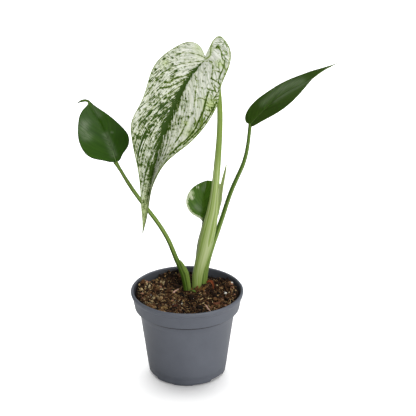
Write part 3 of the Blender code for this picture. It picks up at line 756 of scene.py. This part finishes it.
# (side, leaf, grid, marks, radii of the midrib, upper face's dark, bright, vein and rim colours)
GREEN_LEAVES = [
    ("left", LEFT_LEAF, (60, 90), left_marks, (0.09, 0.03),
     (srgb(36, 68, 2), srgb(50, 84, 8), srgb(112, 138, 84), srgb(30, 52, 10))),
    ("right", RIGHT_LEAF, (60, 100), right_marks, (0.1, 0.03),
     (srgb(38, 60, 12), srgb(56, 80, 22), srgb(84, 108, 54), srgb(84, 102, 56))),
    ("small", SMALL_LEAF, (56, 64), small_marks, (0.07, 0.03),
     (srgb(54, 88, 12), srgb(76, 110, 26), srgb(92, 122, 40), srgb(46, 70, 18)))]


def build_leaves():
    looks = [variegated_leaf("variegated upper face"), variegated_leaf("variegated underside", True)]
    blade("main_blade", MAIN_LEAF, looks, "leaf_variegated", "main_leaf", (140, 270), main_marks, main_relief)
    back = green_leaf("green underside", srgb(56, 88, 34), srgb(78, 108, 48), srgb(140, 160, 104),
                      srgb(60, 86, 36), True)
    for side, leaf, grid, marks, _, shades in GREEN_LEAVES:
        front = green_leaf(f"{side} leaf upper face", *shades)
        blade(f"{side}_blade", leaf, [front, back], "leaf_green", f"{side}_leaf", grid, marks, green_relief)
    back_rib("main_back_rib", MAIN_LEAF, PALE_STALK, "stalk_pale", 0.16, 0.04)
    for side, leaf, _, _, radii, _ in GREEN_LEAVES:
        back_rib(f"{side}_back_rib", leaf, GREEN_STALK, "stalk_green", *radii)


# ---- petioles
MAIN_PETIOLE = [
    (0.97, 1.3, 8.4, 0.48), (1.12, 1.5, 11.1, 0.54), (1.6, 1.7, 13.3, 0.6), (2.1, 1.8, 15.5, 0.6),
    (2.6, 1.9, 17.8, 0.5), (3.00, 2.00, 20.8, 0.4), (3.2, 2.1, 23.1, 0.36), (3.4, 2.2, 26.1, 0.31),
    (3.42, 2.3, 29.6, 0.285), (3.2, 2.3, 32.0, 0.28), (2.75, 2.05, 34.0, 0.26), (2.02, 1.25, 35.02, 0.12)]
RIGHT_PETIOLE = [
    (1.66, 1.42, 8.4, 0.4), (1.88, 1.62, 11.0, 0.4), (2.47, 2.05, 13.1, 0.33), (3.49, 2.45, 16.0, 0.26),
    (4.95, 2.6, 20.5, 0.23), (6.00, 2.7, 23.1, 0.215), (6.5, 2.9, 25.9, 0.19), (6.62, 3.00, 27.22, 0.19)]
LEFT_PETIOLE = [
    (-0.06, 1.15, 8.4, 0.31), (-0.5, 1.02, 11.0, 0.3), (-1.12, 0.9, 12.6, 0.27),
    (-1.8, 0.6, 14.6, 0.245), (-3.27, 0.2, 17.5, 0.23), (-4.88, -0.2, 20.0, 0.22),
    (-6.22, -0.5, 22.3, 0.2), (-6.95, -0.52, 23.65, 0.19), (-7.2, -0.52, 24.1, 0.22),
    (-7.36, -0.52, 24.4, 0.26)]
SMALL_PETIOLE = [
    (0.78, 2.18, 8.4, 0.14), (0.9, 2.45, 10.6, 0.15), (1.06, 2.6, 12.3, 0.15), (1.25, 2.66, 13.8, 0.15),
    (1.5, 2.7, 14.8, 0.16), (1.7, 2.72, 15.7, 0.16), (1.74, 2.8, 16.5, 0.12)]
# How far the clasping sheath swells the big petiole toward +X, as a share of its radius, by height.
SWELL_HEIGHTS = (8.4, 10.6, 12.0, 14.3, 16.2, 18.5, 20.5, 22.0)
SWELL_SHARES = (0.15, 0.35, 0.5, 0.58, 0.47, 0.28, 0.05, 0.0)


def plain_section(angle, height):
    return 1 + 0.015 * np.cos(9 * angle) + 0.01 * np.cos(17 * angle + 1)


def main_section(angle, height):
    """Ribbed, swollen toward +X where the sheath clasps it, and slimmer behind the small petiole."""
    swell = np.interp(height, SWELL_HEIGHTS, SWELL_SHARES)
    slim = 0.18 * ease(height, 10.2, 11.6) * (1 - ease(height, 12.8, 14.2))
    toward = np.cos(angle)
    return plain_section(angle, height) + swell * np.maximum(toward, 0) ** 1.5 - slim * np.maximum(-toward, 0)


def no_marks(angle, height):
    return {"pale": np.zeros(len(angle)), "deep": np.zeros(len(angle))}


def stripe(angle, middle, width):
    """1 on a line down a stalk at an angle in degrees, fading to 0 over its width."""
    off = (np.degrees(angle) - middle + 180) % 360 - 180
    return np.exp(-(off / width) ** 2)


def main_stripes_and_painted_light(angle, height):
    # pale is partly the petiole's own whitish stripe and partly a painted highlight on its front right where
    # the key light falls; deep darkens the base, the top and both edges, and the darkening on the left edge
    # is painted shade.
    low = 1 - ease(height, 17, 21)
    return {"pale": 0.95 * stripe(angle, -58, 15) * low * ease(height, 9.5, 13)
            + 0.4 * stripe(angle, -100, 7),
            "deep": 0.25 * stripe(angle, -15, 14) * low + 0.3 * stripe(angle, -165, 22)
            + 0.3 * (1 - ease(height, 9, 12)) + 0.8 * ease(height, 21.5, 25)}


def left_stripes(angle, height):
    low = 1 - ease(height, 11.5, 15)
    return {"pale": 0.7 * stripe(angle, -75, 10) * (1 - 0.5 * low) + 0.5 * stripe(angle, -30, 8) * low,
            "deep": np.maximum(0.8 * stripe(angle, -140, 32) * (0.5 + 0.5 * low), 0.45 * low)}


def right_stripes(angle, height):
    low = 1 - ease(height, 10.5, 15)
    return {"pale": 0.5 * stripe(angle, -62, 16) * (1 - low) + 0.3 * low,
            "deep": 0.5 * stripe(angle, -140, 35) * (1 - low) + 0.35 * ease(height, 14, 20)}


def loft(name, route, look, slot, nodes, rows=160, around=48, section=plain_section, stripes=no_marks):
    """A stalk along a route of (x, y, z, radius). section scales its radius by angle and height."""
    shape, places = sheet_mesh(around, rows)
    route = np.array(route, float)
    knots = distances(route[:, :3])
    path, before, after = (spline_through(knots / knots[-1], route, places[:, 1] + shift)
                           for shift in (0, -0.002, 0.002))
    ahead = unit((after - before)[:, :3])
    first = unit(np.array([1.0, 0, 0]) - ahead * ahead[:, :1])
    second = np.cross(ahead, first)
    angle = places[:, 0] * math.pi + math.pi / 2
    reach = (path[:, 3] * section(angle, path[:, 2]))[:, None]
    put(shape, path[:, :3] + reach * (np.cos(angle)[:, None] * first + np.sin(angle)[:, None] * second))
    store(shape, flow=np.stack([np.cos(angle), np.sin(angle), places[:, 1] * knots[-1]], 1),
          **stripes(angle, path[:, 2]))
    weld(shape)
    bmesh.ops.holes_fill(shape, edges=[edge for edge in shape.edges if edge.is_boundary])
    bmesh.ops.recalc_face_normals(shape, faces=shape.faces[:])
    return make_piece(name, shape, [look], slot, *nodes)


def sheath(name, route, look, slot, node, stations, ridge=0.0, section=None):
    """A sheath that clasps a petiole. A station is (height, middle angle, half angle, clearance)."""
    route, stations = np.array(route), np.array(stations)
    shape, places = sheet_mesh(40, 90)
    across, height = places[:, 0], stations[0, 0] + places[:, 1] * (stations[-1, 0] - stations[0, 0])
    x, y, radius = (np.interp(height, route[:, 2], route[:, k]) for k in (0, 1, 3))
    middle, half, clear = (spline_through(stations[:, 0], stations[:, k], height) for k in (1, 2, 3))
    angle = np.radians(middle + np.maximum(half, 0.5) * across)
    if section:
        radius = radius * section(angle, height)
    crests = np.cos(3 * math.pi * across)
    reach = radius + 0.045 + clear - 0.04 * np.abs(across) ** 6 + ridge * crests
    put(shape, np.stack([x + reach * np.cos(angle), y + reach * np.sin(angle), height], 1))
    pale = np.maximum(0.8 * np.abs(across) ** 10, (ridge > 0) * 0.6 * np.maximum(crests, 0) ** 4)
    store(shape, flow=np.stack([np.cos(angle), np.sin(angle), height], 1), pale=pale,
          deep=0.6 * stripe(angle, -150, 40))
    weld(shape)
    solidify(make_piece(name, shape, [look], slot, node), SHEATH_THICKNESS)


def build_stalks():
    loft("main_stalk", MAIN_PETIOLE, PALE_STALK, "stalk_pale", ["main_petiole"], 220, 72, main_section,
         main_stripes_and_painted_light)
    loft("right_stalk", RIGHT_PETIOLE, GREEN_STALK, "stalk_green", ["right_petiole"], stripes=right_stripes)
    loft("left_stalk", LEFT_PETIOLE, GREEN_STALK, "stalk_green", ["left_petiole"], stripes=left_stripes)
    loft("small_stalk", SMALL_PETIOLE, GREEN_STALK, "stalk_green", ["small_petiole"], 80, 32)
    sheath("main_sheath_shell", MAIN_PETIOLE, PALE_STALK, "stalk_pale", "main_sheath", [
        (12.6, -30, 24, -0.14), (14.2, -28, 32, -0.06), (16.0, -26, 38, -0.02), (18.5, -14, 42, 0.0),
        (20.2, -16, 30, 0.02), (20.9, -20, 3, 0.05)], section=main_section)
    ribbons("main_sheath_tip", SHEATH_EDGE, "stalk_pale", [((0, -1, 0.3), [
        (3.24, 1.72, 17.4, 0.1), (3.46, 1.72, 19.1, 0.17), (3.6, 1.72, 20.26, 0.19),
        (3.76, 1.75, 21.16, 0.16), (3.95, 1.8, 22.05, 0.12), (4.14, 1.85, 23.1, 0.03)])],
            SHEATH_THICKNESS, rough=False)
    sheath("right_sheath_shell", MAIN_PETIOLE, GREEN_STALK, "stalk_green", "right_sheath", [
        (8.8, 90, 38, 0.02), (10.8, 95, 42, 0.02), (12.2, 92, 28, 0.03), (12.9, 88, 4, 0.05)])
    wing = [(x + 0.3, y, z, 0.26) for x, y, z, _ in LEFT_PETIOLE[:4]]
    sheath("left_sheath_shell", wing, GREEN_STALK, "stalk_green", "left_sheath", [
        (8.6, -72, 27, 0.0), (10.6, -48, 54, 0.02), (12.0, -60, 42, 0.0), (12.6, -72, 12, -0.04)],
           ridge=0.025)


# ---- pot
POT_HEIGHT, LIP_RADIUS, LIP_BOTTOM = 9.5, 6.0, 8.92
BAND_TOP_RADIUS, BAND_BOTTOM, BAND_BOTTOM_RADIUS = 5.81, 7.57, 5.6
WALL, WALL_TOP, WALL_TOP_RADIUS, BASE_RADIUS = 0.14, 6.75, 5.0, 4.08
FLOOR_RECESS, FLOOR_THICKNESS, PAD_RADIUS = 0.36, 0.14, 2.2
RING_FLOOR = FLOOR_RECESS + FLOOR_THICKNESS
FOOT_ANGLES, FOOT_TO_NOTCH = (-96, 24, 144), 60
FOOT_HALF_WIDTH, FOOT_RELIEF, NOTCH_HALF_WIDTH, NOTCH_HEIGHT = 14, 0.1, 16, 0.35
DRAIN_HOLES, DRAIN_RADIUS, DRAIN_CIRCLE = 6, 0.35, 3.0


def rounded(points, radius, steps=4):
    """The profile with its inner corners rounded off."""
    points = [Vector(point) for point in points]
    out = [points[0]]
    for before, corner, after in zip(points, points[1:], points[2:]):
        back, ahead = before - corner, after - corner
        cut = min(radius, 0.45 * back.length, 0.45 * ahead.length)
        start, end = corner + back.normalized() * cut, corner + ahead.normalized() * cut
        for k in range(steps + 1):
            t = k / steps
            out.append(start.lerp(corner, t).lerp(corner.lerp(end, t), t))
    return out + [points[-1]]


def beside(radius, height, *offsets):
    """Profile points at offsets from one place."""
    return [(radius + out, height + up) for out, up in offsets]


def wall_radius(height):
    return BASE_RADIUS + (WALL_TOP_RADIUS - BASE_RADIUS) * height / WALL_TOP


def pot_profile():
    inside = [
        (0, FLOOR_THICKNESS), (PAD_RADIUS - 0.1, FLOOR_THICKNESS), (PAD_RADIUS + 0.15, RING_FLOOR),
        (BASE_RADIUS - 0.5, RING_FLOOR), (BASE_RADIUS - WALL, RING_FLOOR + 0.16),
        (WALL_TOP_RADIUS - WALL, WALL_TOP + 0.05), (BAND_BOTTOM_RADIUS - WALL, BAND_BOTTOM + 0.05),
        (LIP_RADIUS - 0.32, POT_HEIGHT - 0.16)]
    lip = beside(LIP_RADIUS, POT_HEIGHT, (-0.28, -0.05), (-0.2, 0), (-0.08, -0.01), (-0.01, -0.09), (0, -0.2))
    lip += beside(LIP_RADIUS, LIP_BOTTOM, (-0.02, 0.24), (-0.09, 0.06), (-0.17, 0))
    band = beside(BAND_TOP_RADIUS, LIP_BOTTOM, (0, -0.05))
    band += beside(BAND_BOTTOM_RADIUS, BAND_BOTTOM, (0, 0.12), (-0.03, 0), (-0.28, -0.01), (-0.33, -0.18))
    band += beside(WALL_TOP_RADIUS, WALL_TOP, (0.06, 0.12), (0, 0))
    wall = [(wall_radius(height), height) for height in (4.0, 1.2, 0.85)]
    wall += [(wall_radius(height) - 0.025, height) for height in (0.8, 0.62, 0.46, 0.22)]
    under = beside(BASE_RADIUS, 0, (-0.07, 0.04), (-0.14, 0), (-0.34, 0), (-0.42, FLOOR_RECESS))
    under += beside(PAD_RADIUS, 0, (0.25, FLOOR_RECESS), (0, 0)) + [(0, 0)]
    return (rounded(inside, 0.05) + rounded(lip, 0.05) + rounded(band, 0.03, 3) + wall
            + rounded(under, 0.03, 3))


def cut_away(shape, cutter):
    """The shape with the cutter taken out of it, both bmeshes in the same measure."""
    pair = []
    for name, part in (("whole", shape), ("cutter", cutter)):
        mesh = bpy.data.meshes.new(name)
        part.to_mesh(mesh)
        part.free()
        pair.append(add_object(name, mesh))
    pair[0].modifiers.new("cut", "BOOLEAN").object = pair[1]
    bpy.context.view_layer.update()
    result = bmesh.new()
    result.from_object(pair[0], bpy.context.evaluated_depsgraph_get())
    for left_over in pair:
        bpy.data.objects.remove(left_over)
    return result


def build_pot():
    shape = lathe(pot_profile(), 180)
    for vert in shape.verts:
        x, y, z = vert.co
        if z < NOTCH_HEIGHT and math.hypot(x, y) > BASE_RADIUS - 0.44:
            angle = math.degrees(math.atan2(y, x)) - FOOT_TO_NOTCH
            off = min(abs((angle - foot + 180) % 360 - 180) for foot in FOOT_ANGLES)
            notch = NOTCH_HEIGHT * (1 - ease(off, NOTCH_HALF_WIDTH - 2, NOTCH_HALF_WIDTH + 1))
            to_foot = FOOT_TO_NOTCH - FOOT_HALF_WIDTH
            relief = FOOT_RELIEF * (1 - ease(off, to_foot - 2, to_foot + 2))
            vert.co.z = max(z, float(notch), float(relief))
    drains = bmesh.new()
    for number in range(DRAIN_HOLES):
        angle = math.radians(FOOT_ANGLES[0] + FOOT_TO_NOTCH / 2 + 360 / DRAIN_HOLES * number)
        middle = (DRAIN_CIRCLE * math.cos(angle), DRAIN_CIRCLE * math.sin(angle),
                  FLOOR_RECESS + FLOOR_THICKNESS / 2)
        bmesh.ops.create_cone(drains, cap_ends=True, segments=32, radius1=DRAIN_RADIUS, radius2=DRAIN_RADIUS,
                              depth=0.4, matrix=Matrix.Translation(middle))
    shape = cut_away(shape, drains)
    shape.normal_update()
    # inside marks the inner wall below the rim, where the plastic is darkened as painted shade.
    inside = [float(vert.normal.x * vert.co.x + vert.normal.y * vert.co.y < 0)
              * float(1 - ease(vert.co.z, POT_HEIGHT - 0.32, POT_HEIGHT + 0.05)) for vert in shape.verts]
    store(shape, inside=inside)
    piece = make_piece("pot_shell", shape, [pot_plastic()], "pot", "pot")
    piece.data.set_sharp_from_angle(angle=math.radians(50))


# ---- soil
SOIL_LEVEL, SOIL_RADIUS = 8.82, 5.45
# (x, y, rise, spread) of each heap: crown, left, back, back-left dip, back right, right, front left and
# the crown's right foot.
HEAPS = [(0.85, 1.45, 0.28, 5.0), (-5.2, 1.5, 1.02, 2.6), (-1.4, 5.0, 0.6, 6.0), (-4.2, 3.7, -0.55, 1.0),
         (4.5, 2.8, 0.45, 2.5), (5.2, 0.4, 0.5, 3.0), (-3.4, -3.4, 0.22, 3.0), (1.95, 0.95, 0.5, 0.32)]
# The way from the axis to the middle of the gap between soil and wall, and how wide the loose mix lies.
GAP_MIDDLE_ANGLE, MIX_RADIUS, MIX_GAP = 212, 5.25, 0.35


def soil_height(x, y):
    """Top of the soil, which falls away from the wall most at the left and front left."""
    heaps = sum(rise * math.exp(-((x - x0) ** 2 + (y - y0) ** 2) / spread) for x0, y0, rise, spread in HEAPS)
    facing_gap = math.cos(math.atan2(y, x) - math.radians(GAP_MIDDLE_ANGLE))
    drop = (0.1 + 0.75 * max(facing_gap, 0) ** 4) * float(ease(math.hypot(x, y), 4.95, 5.4))
    return SOIL_LEVEL + heaps - drop


def rough_soil(x, y):
    lumps = noise.turbulence(Vector((x * 1.1, y * 1.1, 2.0)), 4, False)
    return soil_height(x, y) - 0.16 + 0.14 * lumps + 0.12 * grain(x, y, 2.6, 5) + 0.06 * grain(x, y, 6.5, 7)


def build_soil():
    outline = [(0, 0.2), (1.9, 0.2), (2.4, 0.56), (3.4, 0.56), (3.86, 0.8), (4.78, 6.8), (5.3, 7.6),
               (SOIL_RADIUS, 8.1)]
    shape = lathe(outline + [(radius, SOIL_LEVEL) for radius in np.linspace(SOIL_RADIUS, 0, 100)], 240)
    for vert in shape.verts:
        if vert.co.z > SOIL_LEVEL - 0.01:
            vert.co.z = rough_soil(*vert.co.xy)
    store(shape, shade=[0.26 + 0.3 * grain(*vert.co.xy, 1.7, 9) for vert in shape.verts])
    make_piece("soil_bed", shape, [SOIL_MIX], "soil", "soil", "buried_stem")


SOIL_MIX = loose_mix("peat potting mix", (0.12, srgb(15, 8, 4)), (0.36, srgb(43, 27, 15)),
                     (0.58, srgb(86, 57, 34)), (0.78, srgb(142, 108, 70)), (0.98, srgb(206, 182, 134)))
COIR = loose_mix("coir and moss", (0.15, srgb(52, 34, 19)), (0.45, srgb(106, 80, 48)),
                 (0.7, srgb(160, 136, 88)), (0.9, srgb(216, 198, 156)))
BARK = loose_mix("composted bark", (0.2, srgb(62, 32, 22)), (0.5, srgb(122, 74, 50)),
                 (0.8, srgb(182, 132, 106)))
PERLITE = loose_mix("perlite grain", (0.1, srgb(188, 176, 158)), (0.4, srgb(232, 228, 216)),
                    (0.7, srgb(248, 246, 240)))
PALE_TWIG = loose_mix("pale twig", (0.3, srgb(176, 124, 104)), (0.6, srgb(236, 200, 180)))


def crowd(count, subdivisions):
    """A bmesh of many balls of unit size, and the number of vertices in each."""
    shape = bmesh.new()
    bmesh.ops.create_icosphere(shape, subdivisions=subdivisions, radius=0.5)
    each = [len(parts) for parts in (shape.verts, shape.edges, shape.faces)]
    made = 1
    while made < count:
        more = min(made, count - made)
        for parts in (shape.verts, shape.edges, shape.faces):
            parts.ensure_lookup_table()
        copied = [part for parts, size in zip((shape.verts, shape.edges, shape.faces), each)
                  for part in parts[:more * size]]
        bmesh.ops.duplicate(shape, geom=copied)
        made += more
    return shape, each[0]


def scatter(name, look, slot, count, size, form, shade, seed, left_share=0.5, subdivisions=1):
    """Rough lumps over the soil in one mesh.

    size is the least and greatest width, form the length and thickness for each unit of width, and
    shade the mean and spread of the lumps' lightness. left_share of them lie at the left.
    """
    draw = np.random.default_rng(seed)
    angle = draw.uniform(0, math.tau, count)
    toward_gap = np.maximum(np.cos(angle - math.radians(GAP_MIDDLE_ANGLE)), 0)
    distance = (MIX_RADIUS - MIX_GAP * toward_gap) * np.sqrt(draw.random(count))
    x, y = distance * np.cos(angle), distance * np.sin(angle)
    x = np.where(draw.random(count) < left_share, -np.abs(x), np.abs(x))
    width = size[0] + (size[1] - size[0]) * draw.random(count) ** 2.5
    stretch = np.stack([width * form[0] * draw.uniform(0.7, 1.3, count), width,
                        width * form[1] * draw.uniform(0.7, 1.3, count)], 1)
    turn, lean = draw.uniform(0, math.tau, count), draw.normal(0, 0.45, count)
    shape, each = crowd(count, subdivisions)
    ball = np.array([vert.co for vert in shape.verts][:each])
    lumps = ball * (1 + draw.uniform(-0.25, 0.25, (count, each, 1))) * stretch[:, None]
    lumps = turned(turned(lumps, lean[:, None], 0, 2), turn[:, None])
    ground = np.array([rough_soil(px, py) for px, py in zip(x, y)])
    lift = ground + 0.3 * stretch[:, 2] + 0.3 * stretch[:, 0] * np.abs(np.sin(lean))
    put(shape, (lumps + np.stack([x, y, lift], 1)[:, None]).reshape(-1, 3))
    light = 0.05 + 0.035 * np.abs(x) - 0.012 * x - 0.09 * np.maximum(y - 1.5, 0)
    light += 0.28 * np.array([grain(px, py, 0.9, 4) for px, py in zip(x, y)])
    store(shape, shade=np.repeat(draw.normal(*shade, count) + light, each))
    make_piece(name, shape, [look], slot, smooth=False)


def scatter_mix():
    scatter("fine_crumbs", SOIL_MIX, "soil", 2300, (0.1, 0.3), (1.3, 0.7), (0.36, 0.2), 1)
    scatter("soil_clods", SOIL_MIX, "soil", 280, (0.22, 0.52), (1.2, 0.7), (0.3, 0.15), 2, subdivisions=2)
    scatter("peat_fibres", SOIL_MIX, "soil", 1000, (0.035, 0.075), (10.0, 0.9), (0.52, 0.22), 3)
    scatter("coir_chips", COIR, "husk", 360, (0.08, 0.28), (1.5, 0.5), (0.5, 0.2), 4, 0.74)
    scatter("coir_fibres", COIR, "husk", 240, (0.03, 0.07), (10.0, 0.9), (0.6, 0.2), 5, 0.62)
    scatter("bark_crumbs", BARK, "bark", 170, (0.1, 0.34), (1.5, 0.5), (0.45, 0.2), 6, 0.4)
    scatter("perlite_dust", PERLITE, "perlite", 46, (0.06, 0.14), (1.1, 0.9), (0.5, 0.2), 7, 0.6)


# ---- husks and loose pieces
def nuggets(name, look, slot, lumps, *nodes):
    """Bigger lumps, each (x, y, (length, width, height), turn in degrees), worn by noise."""
    shape, each = crowd(len(lumps), 3)
    ball = np.array([vert.co for vert in shape.verts][:each])
    points, shades = [], []
    for number, (x, y, size, turn) in enumerate(lumps):
        worn = [point * (1 + 0.55 * noise.noise(Vector(point * 3.2) + Vector((number * 5.0, x, y)))
                         + 0.35 * noise.noise(Vector(point * 9.0) + Vector((x, number * 3.0, y))))
                for point in ball]
        points += list(turned(np.array(worn) * size, math.radians(turn))
                       + (x, y, rough_soil(x, y) + 0.3 * size[2]))
        shades += [0.4 + 0.2 * math.sin(number * 2.4)] * each
    put(shape, points)
    store(shape, shade=shades)
    make_piece(name, shape, [look], slot, *nodes)


def ribbons(name, look, slot, drawn, thickness, *nodes, rough=True):
    """Curled strips, each (facing, [(x, y, z, half width), ...])."""
    joined = bmesh.new()
    flow = []
    for facing, route in drawn:
        shape, places = sheet_mesh(6, 24)
        path = smooth_curve(route, places[:, 1])
        ahead = smooth_curve(route, np.minimum(places[:, 1] + 0.01, 1)) - smooth_curve(
            route, np.maximum(places[:, 1] - 0.01, 0))
        sideways = unit(np.cross(ahead[:, :3], facing))
        across = places[:, 0]
        ragged = np.array([1 + 0.35 * noise.noise(Vector((side * 1.5, along * 9, route[0][0] * 7)))
                           for side, along in places]) if rough else 1
        curl = 0.35 * path[:, 3] * across ** 2
        put(shape, path[:, :3] + (across * ragged * path[:, 3])[:, None] * sideways
            + curl[:, None] * np.array(facing, float))
        flow += [(side, 0, 3 * along) for side, along in places]
        strip = bpy.data.meshes.new("strip")
        shape.to_mesh(strip)
        shape.free()
        joined.from_mesh(strip)
        bpy.data.meshes.remove(strip)
    flow = np.array(flow)
    store(joined, flow=flow, pale=0.7 * np.abs(flow[:, 0]) ** 4, deep=np.zeros(len(flow)))
    solidify(make_piece(name, joined, [look], slot, *nodes), thickness)


def twig_shade(angle, height):
    return {"shade": np.full(len(angle), 0.5)}


def build_loose():
    husk = dry_husk("dry husk", srgb(78, 34, 16), srgb(146, 74, 36))
    withered = dry_husk("withered sheath", srgb(66, 46, 22), srgb(150, 108, 56))
    nuggets("bark_chips", BARK, "bark", [
        (3.3, -2.00, (1.3, 0.55, 0.3), 8), (4.75, 0.95, (0.35, 0.6, 0.3), -15),
        (-1.3, -2.6, (0.7, 0.5, 0.3), 40)], "bark_chip_1", "bark_chip_2", "bark_chip_3")
    nuggets("coir_lumps", COIR, "husk", [
        (-3.15, 1.3, (0.6, 0.45, 0.35), 20), (-2.3, -3.2, (0.62, 0.5, 0.35), -30),
        (-4.2, -1.15, (0.5, 0.42, 0.34), 60), (-3.3, 3.3, (0.42, 0.36, 0.3), 0)],
            "peat_crumb_1", "peat_crumb_2", "peat_crumb_3", "peat_crumb_4")
    nuggets("perlite_grains", PERLITE, "perlite", [
        (4.1, -0.2, (0.3, 0.28, 0.3), 0), (4.75, 2.2, (0.27, 0.25, 0.22), 50)], "perlite_1", "perlite_2")
    ribbons("curled_scale", husk, "husk", [
        ((0, -1, 0.3), [(2.08, 1.15, 9.72, 0.07), (2.25, 1.12, 9.92, 0.1), (2.48, 1.12, 9.96, 0.11),
                        (2.7, 1.12, 9.7, 0.11), (2.79, 1.1, 9.35, 0.09), (2.74, 1.05, 9.02, 0.05)])],
            0.05, "dry_scale")
    ribbons("withered_sheaths", withered, "husk", [
        ((0, -1, 0.2), [(0.95, 0.66, 9.0, 0.1), (1.02, 0.6, 9.3, 0.16), (1.15, 0.62, 9.62, 0.05)]),
        ((0.3, -1, 0.3), [(1.25, 0.52, 9.0, 0.1), (1.42, 0.45, 9.38, 0.14), (1.66, 0.5, 9.68, 0.04)]),
        ((0, -1, 0.5), [(1.6, 0.45, 9.0, 0.1), (1.85, 0.4, 9.45, 0.12), (2.15, 0.5, 9.68, 0.04)]),
        ((-0.2, -1, 0.4), [(0.6, 0.6, 8.95, 0.07), (0.52, 0.52, 9.2, 0.08), (0.42, 0.56, 9.4, 0.02)])],
            0.04, "withered_sheath")
    loft("crown_bud", [(0.92, 0.44, 8.95, 0.11), (0.8, 0.34, 9.12, 0.12), (0.62, 0.26, 9.22, 0.09),
                       (0.46, 0.2, 9.26, 0.02)], GREEN_STALK, "stalk_pale", ["bud"], 40, 20)
    for name, node, look, slot, path in (
            ("pink_twig", "twig_1", PALE_TWIG, "husk", [(-1.5, 0.58), (-1.22, 0.86), (-0.92, 1.08)]),
            ("pale_stick", "twig_2", PALE_TWIG, "perlite", [(2.02, -2.6), (2.24, -3.2), (2.56, -3.85)])):
        route = [(x, y, rough_soil(x, y) + 0.14, radius) for (x, y), radius in zip(path, (0.11, 0.07, 0.03))]
        loft(name, route, look, slot, [node], 30, 12, stripes=twig_shade)


# ---- studio
AIM, VIEW_ELEVATION, VIEW_DISTANCE, LENS, SENSOR_WIDTH = Vector((0.0222, 0, 0.1895)), 23.8, 2.4, 198.45, 36
LAMP_AIM = Vector((0, 0, 0.15))


def look_at(thing, place, target):
    thing.location = place
    thing.rotation_euler = (target - Vector(place)).to_track_quat("-Z", "Y").to_euler()


def area_light(name, place, size, power, lit):
    """A round lamp aimed at the plant, which lights one collection of objects only."""
    data = bpy.data.lights.new(name, "AREA")
    data.shape, data.size, data.energy = "DISK", size, power
    lamp = add_object(name, data)
    look_at(lamp, place, LAMP_AIM)
    lamp.light_linking.receiver_collection = lit


def build_studio():
    """A white sweep with a lamp of its own, and soft lamps above the plant and at its front right."""
    bpy.ops.mesh.primitive_plane_add(size=12)
    floor = bpy.context.object
    floor.name = "floor"
    look = Look("studio floor", Roughness=0.9, Specular_IOR_Level=0.0, Emission_Color=(1, 1, 1, 1))
    seen = look.add("ShaderNodeLightPath", out="Is Camera Ray")
    floor.data.materials.append(look.finish(
        Base_Color=look.coats((0.54, 0.54, 0.54, 1), (seen, (0.9, 0.9, 0.9, 1))),
        Emission_Strength=look.times(seen, 0.2)))
    sweep, others = bpy.data.collections.new("sweep"), bpy.data.collections.new("all but the sweep")
    for group, state in ((sweep, "INCLUDE"), (others, "EXCLUDE")):
        group.objects.link(floor)
        group.collection_objects[0].light_linking.link_state = state
    area_light("key", (0.9, -1.8, 1.25), 1.5, 29, others)
    area_light("overhead", (0.1, 0.2, 1.9), 1.1, 10, others)
    area_light("floor wash", (0, 0.78, 1.74), 3.0, 88, sweep)

    world = bpy.data.worlds.new("studio")
    world.use_nodes = True
    air = Tree(world.node_tree)
    across = air.add("ShaderNodeSeparateXYZ", {0: air.add("ShaderNodeTexCoord", out="Generated")})
    light = air.add("ShaderNodeBackground", {"Color": (1, 1, 1, 1),
                                             "Strength": air.math("MULTIPLY_ADD", across, 0.3, 0.35)})
    world.node_tree.links.new(light, world.node_tree.nodes["World Output"].inputs["Surface"])
    bpy.context.scene.world = world

    data = bpy.data.cameras.new("camera")
    data.lens, data.sensor_width = LENS, SENSOR_WIDTH
    camera = add_object("camera", data)
    tilt = math.radians(VIEW_ELEVATION)
    look_at(camera, AIM + VIEW_DISTANCE * Vector((0, -math.cos(tilt), math.sin(tilt))), AIM)
    bpy.context.scene.camera = camera
    bpy.context.scene.view_settings.view_transform = "Standard"


build_studio()
build_pot()
build_soil()
scatter_mix()
build_stalks()
build_leaves()
build_loose()
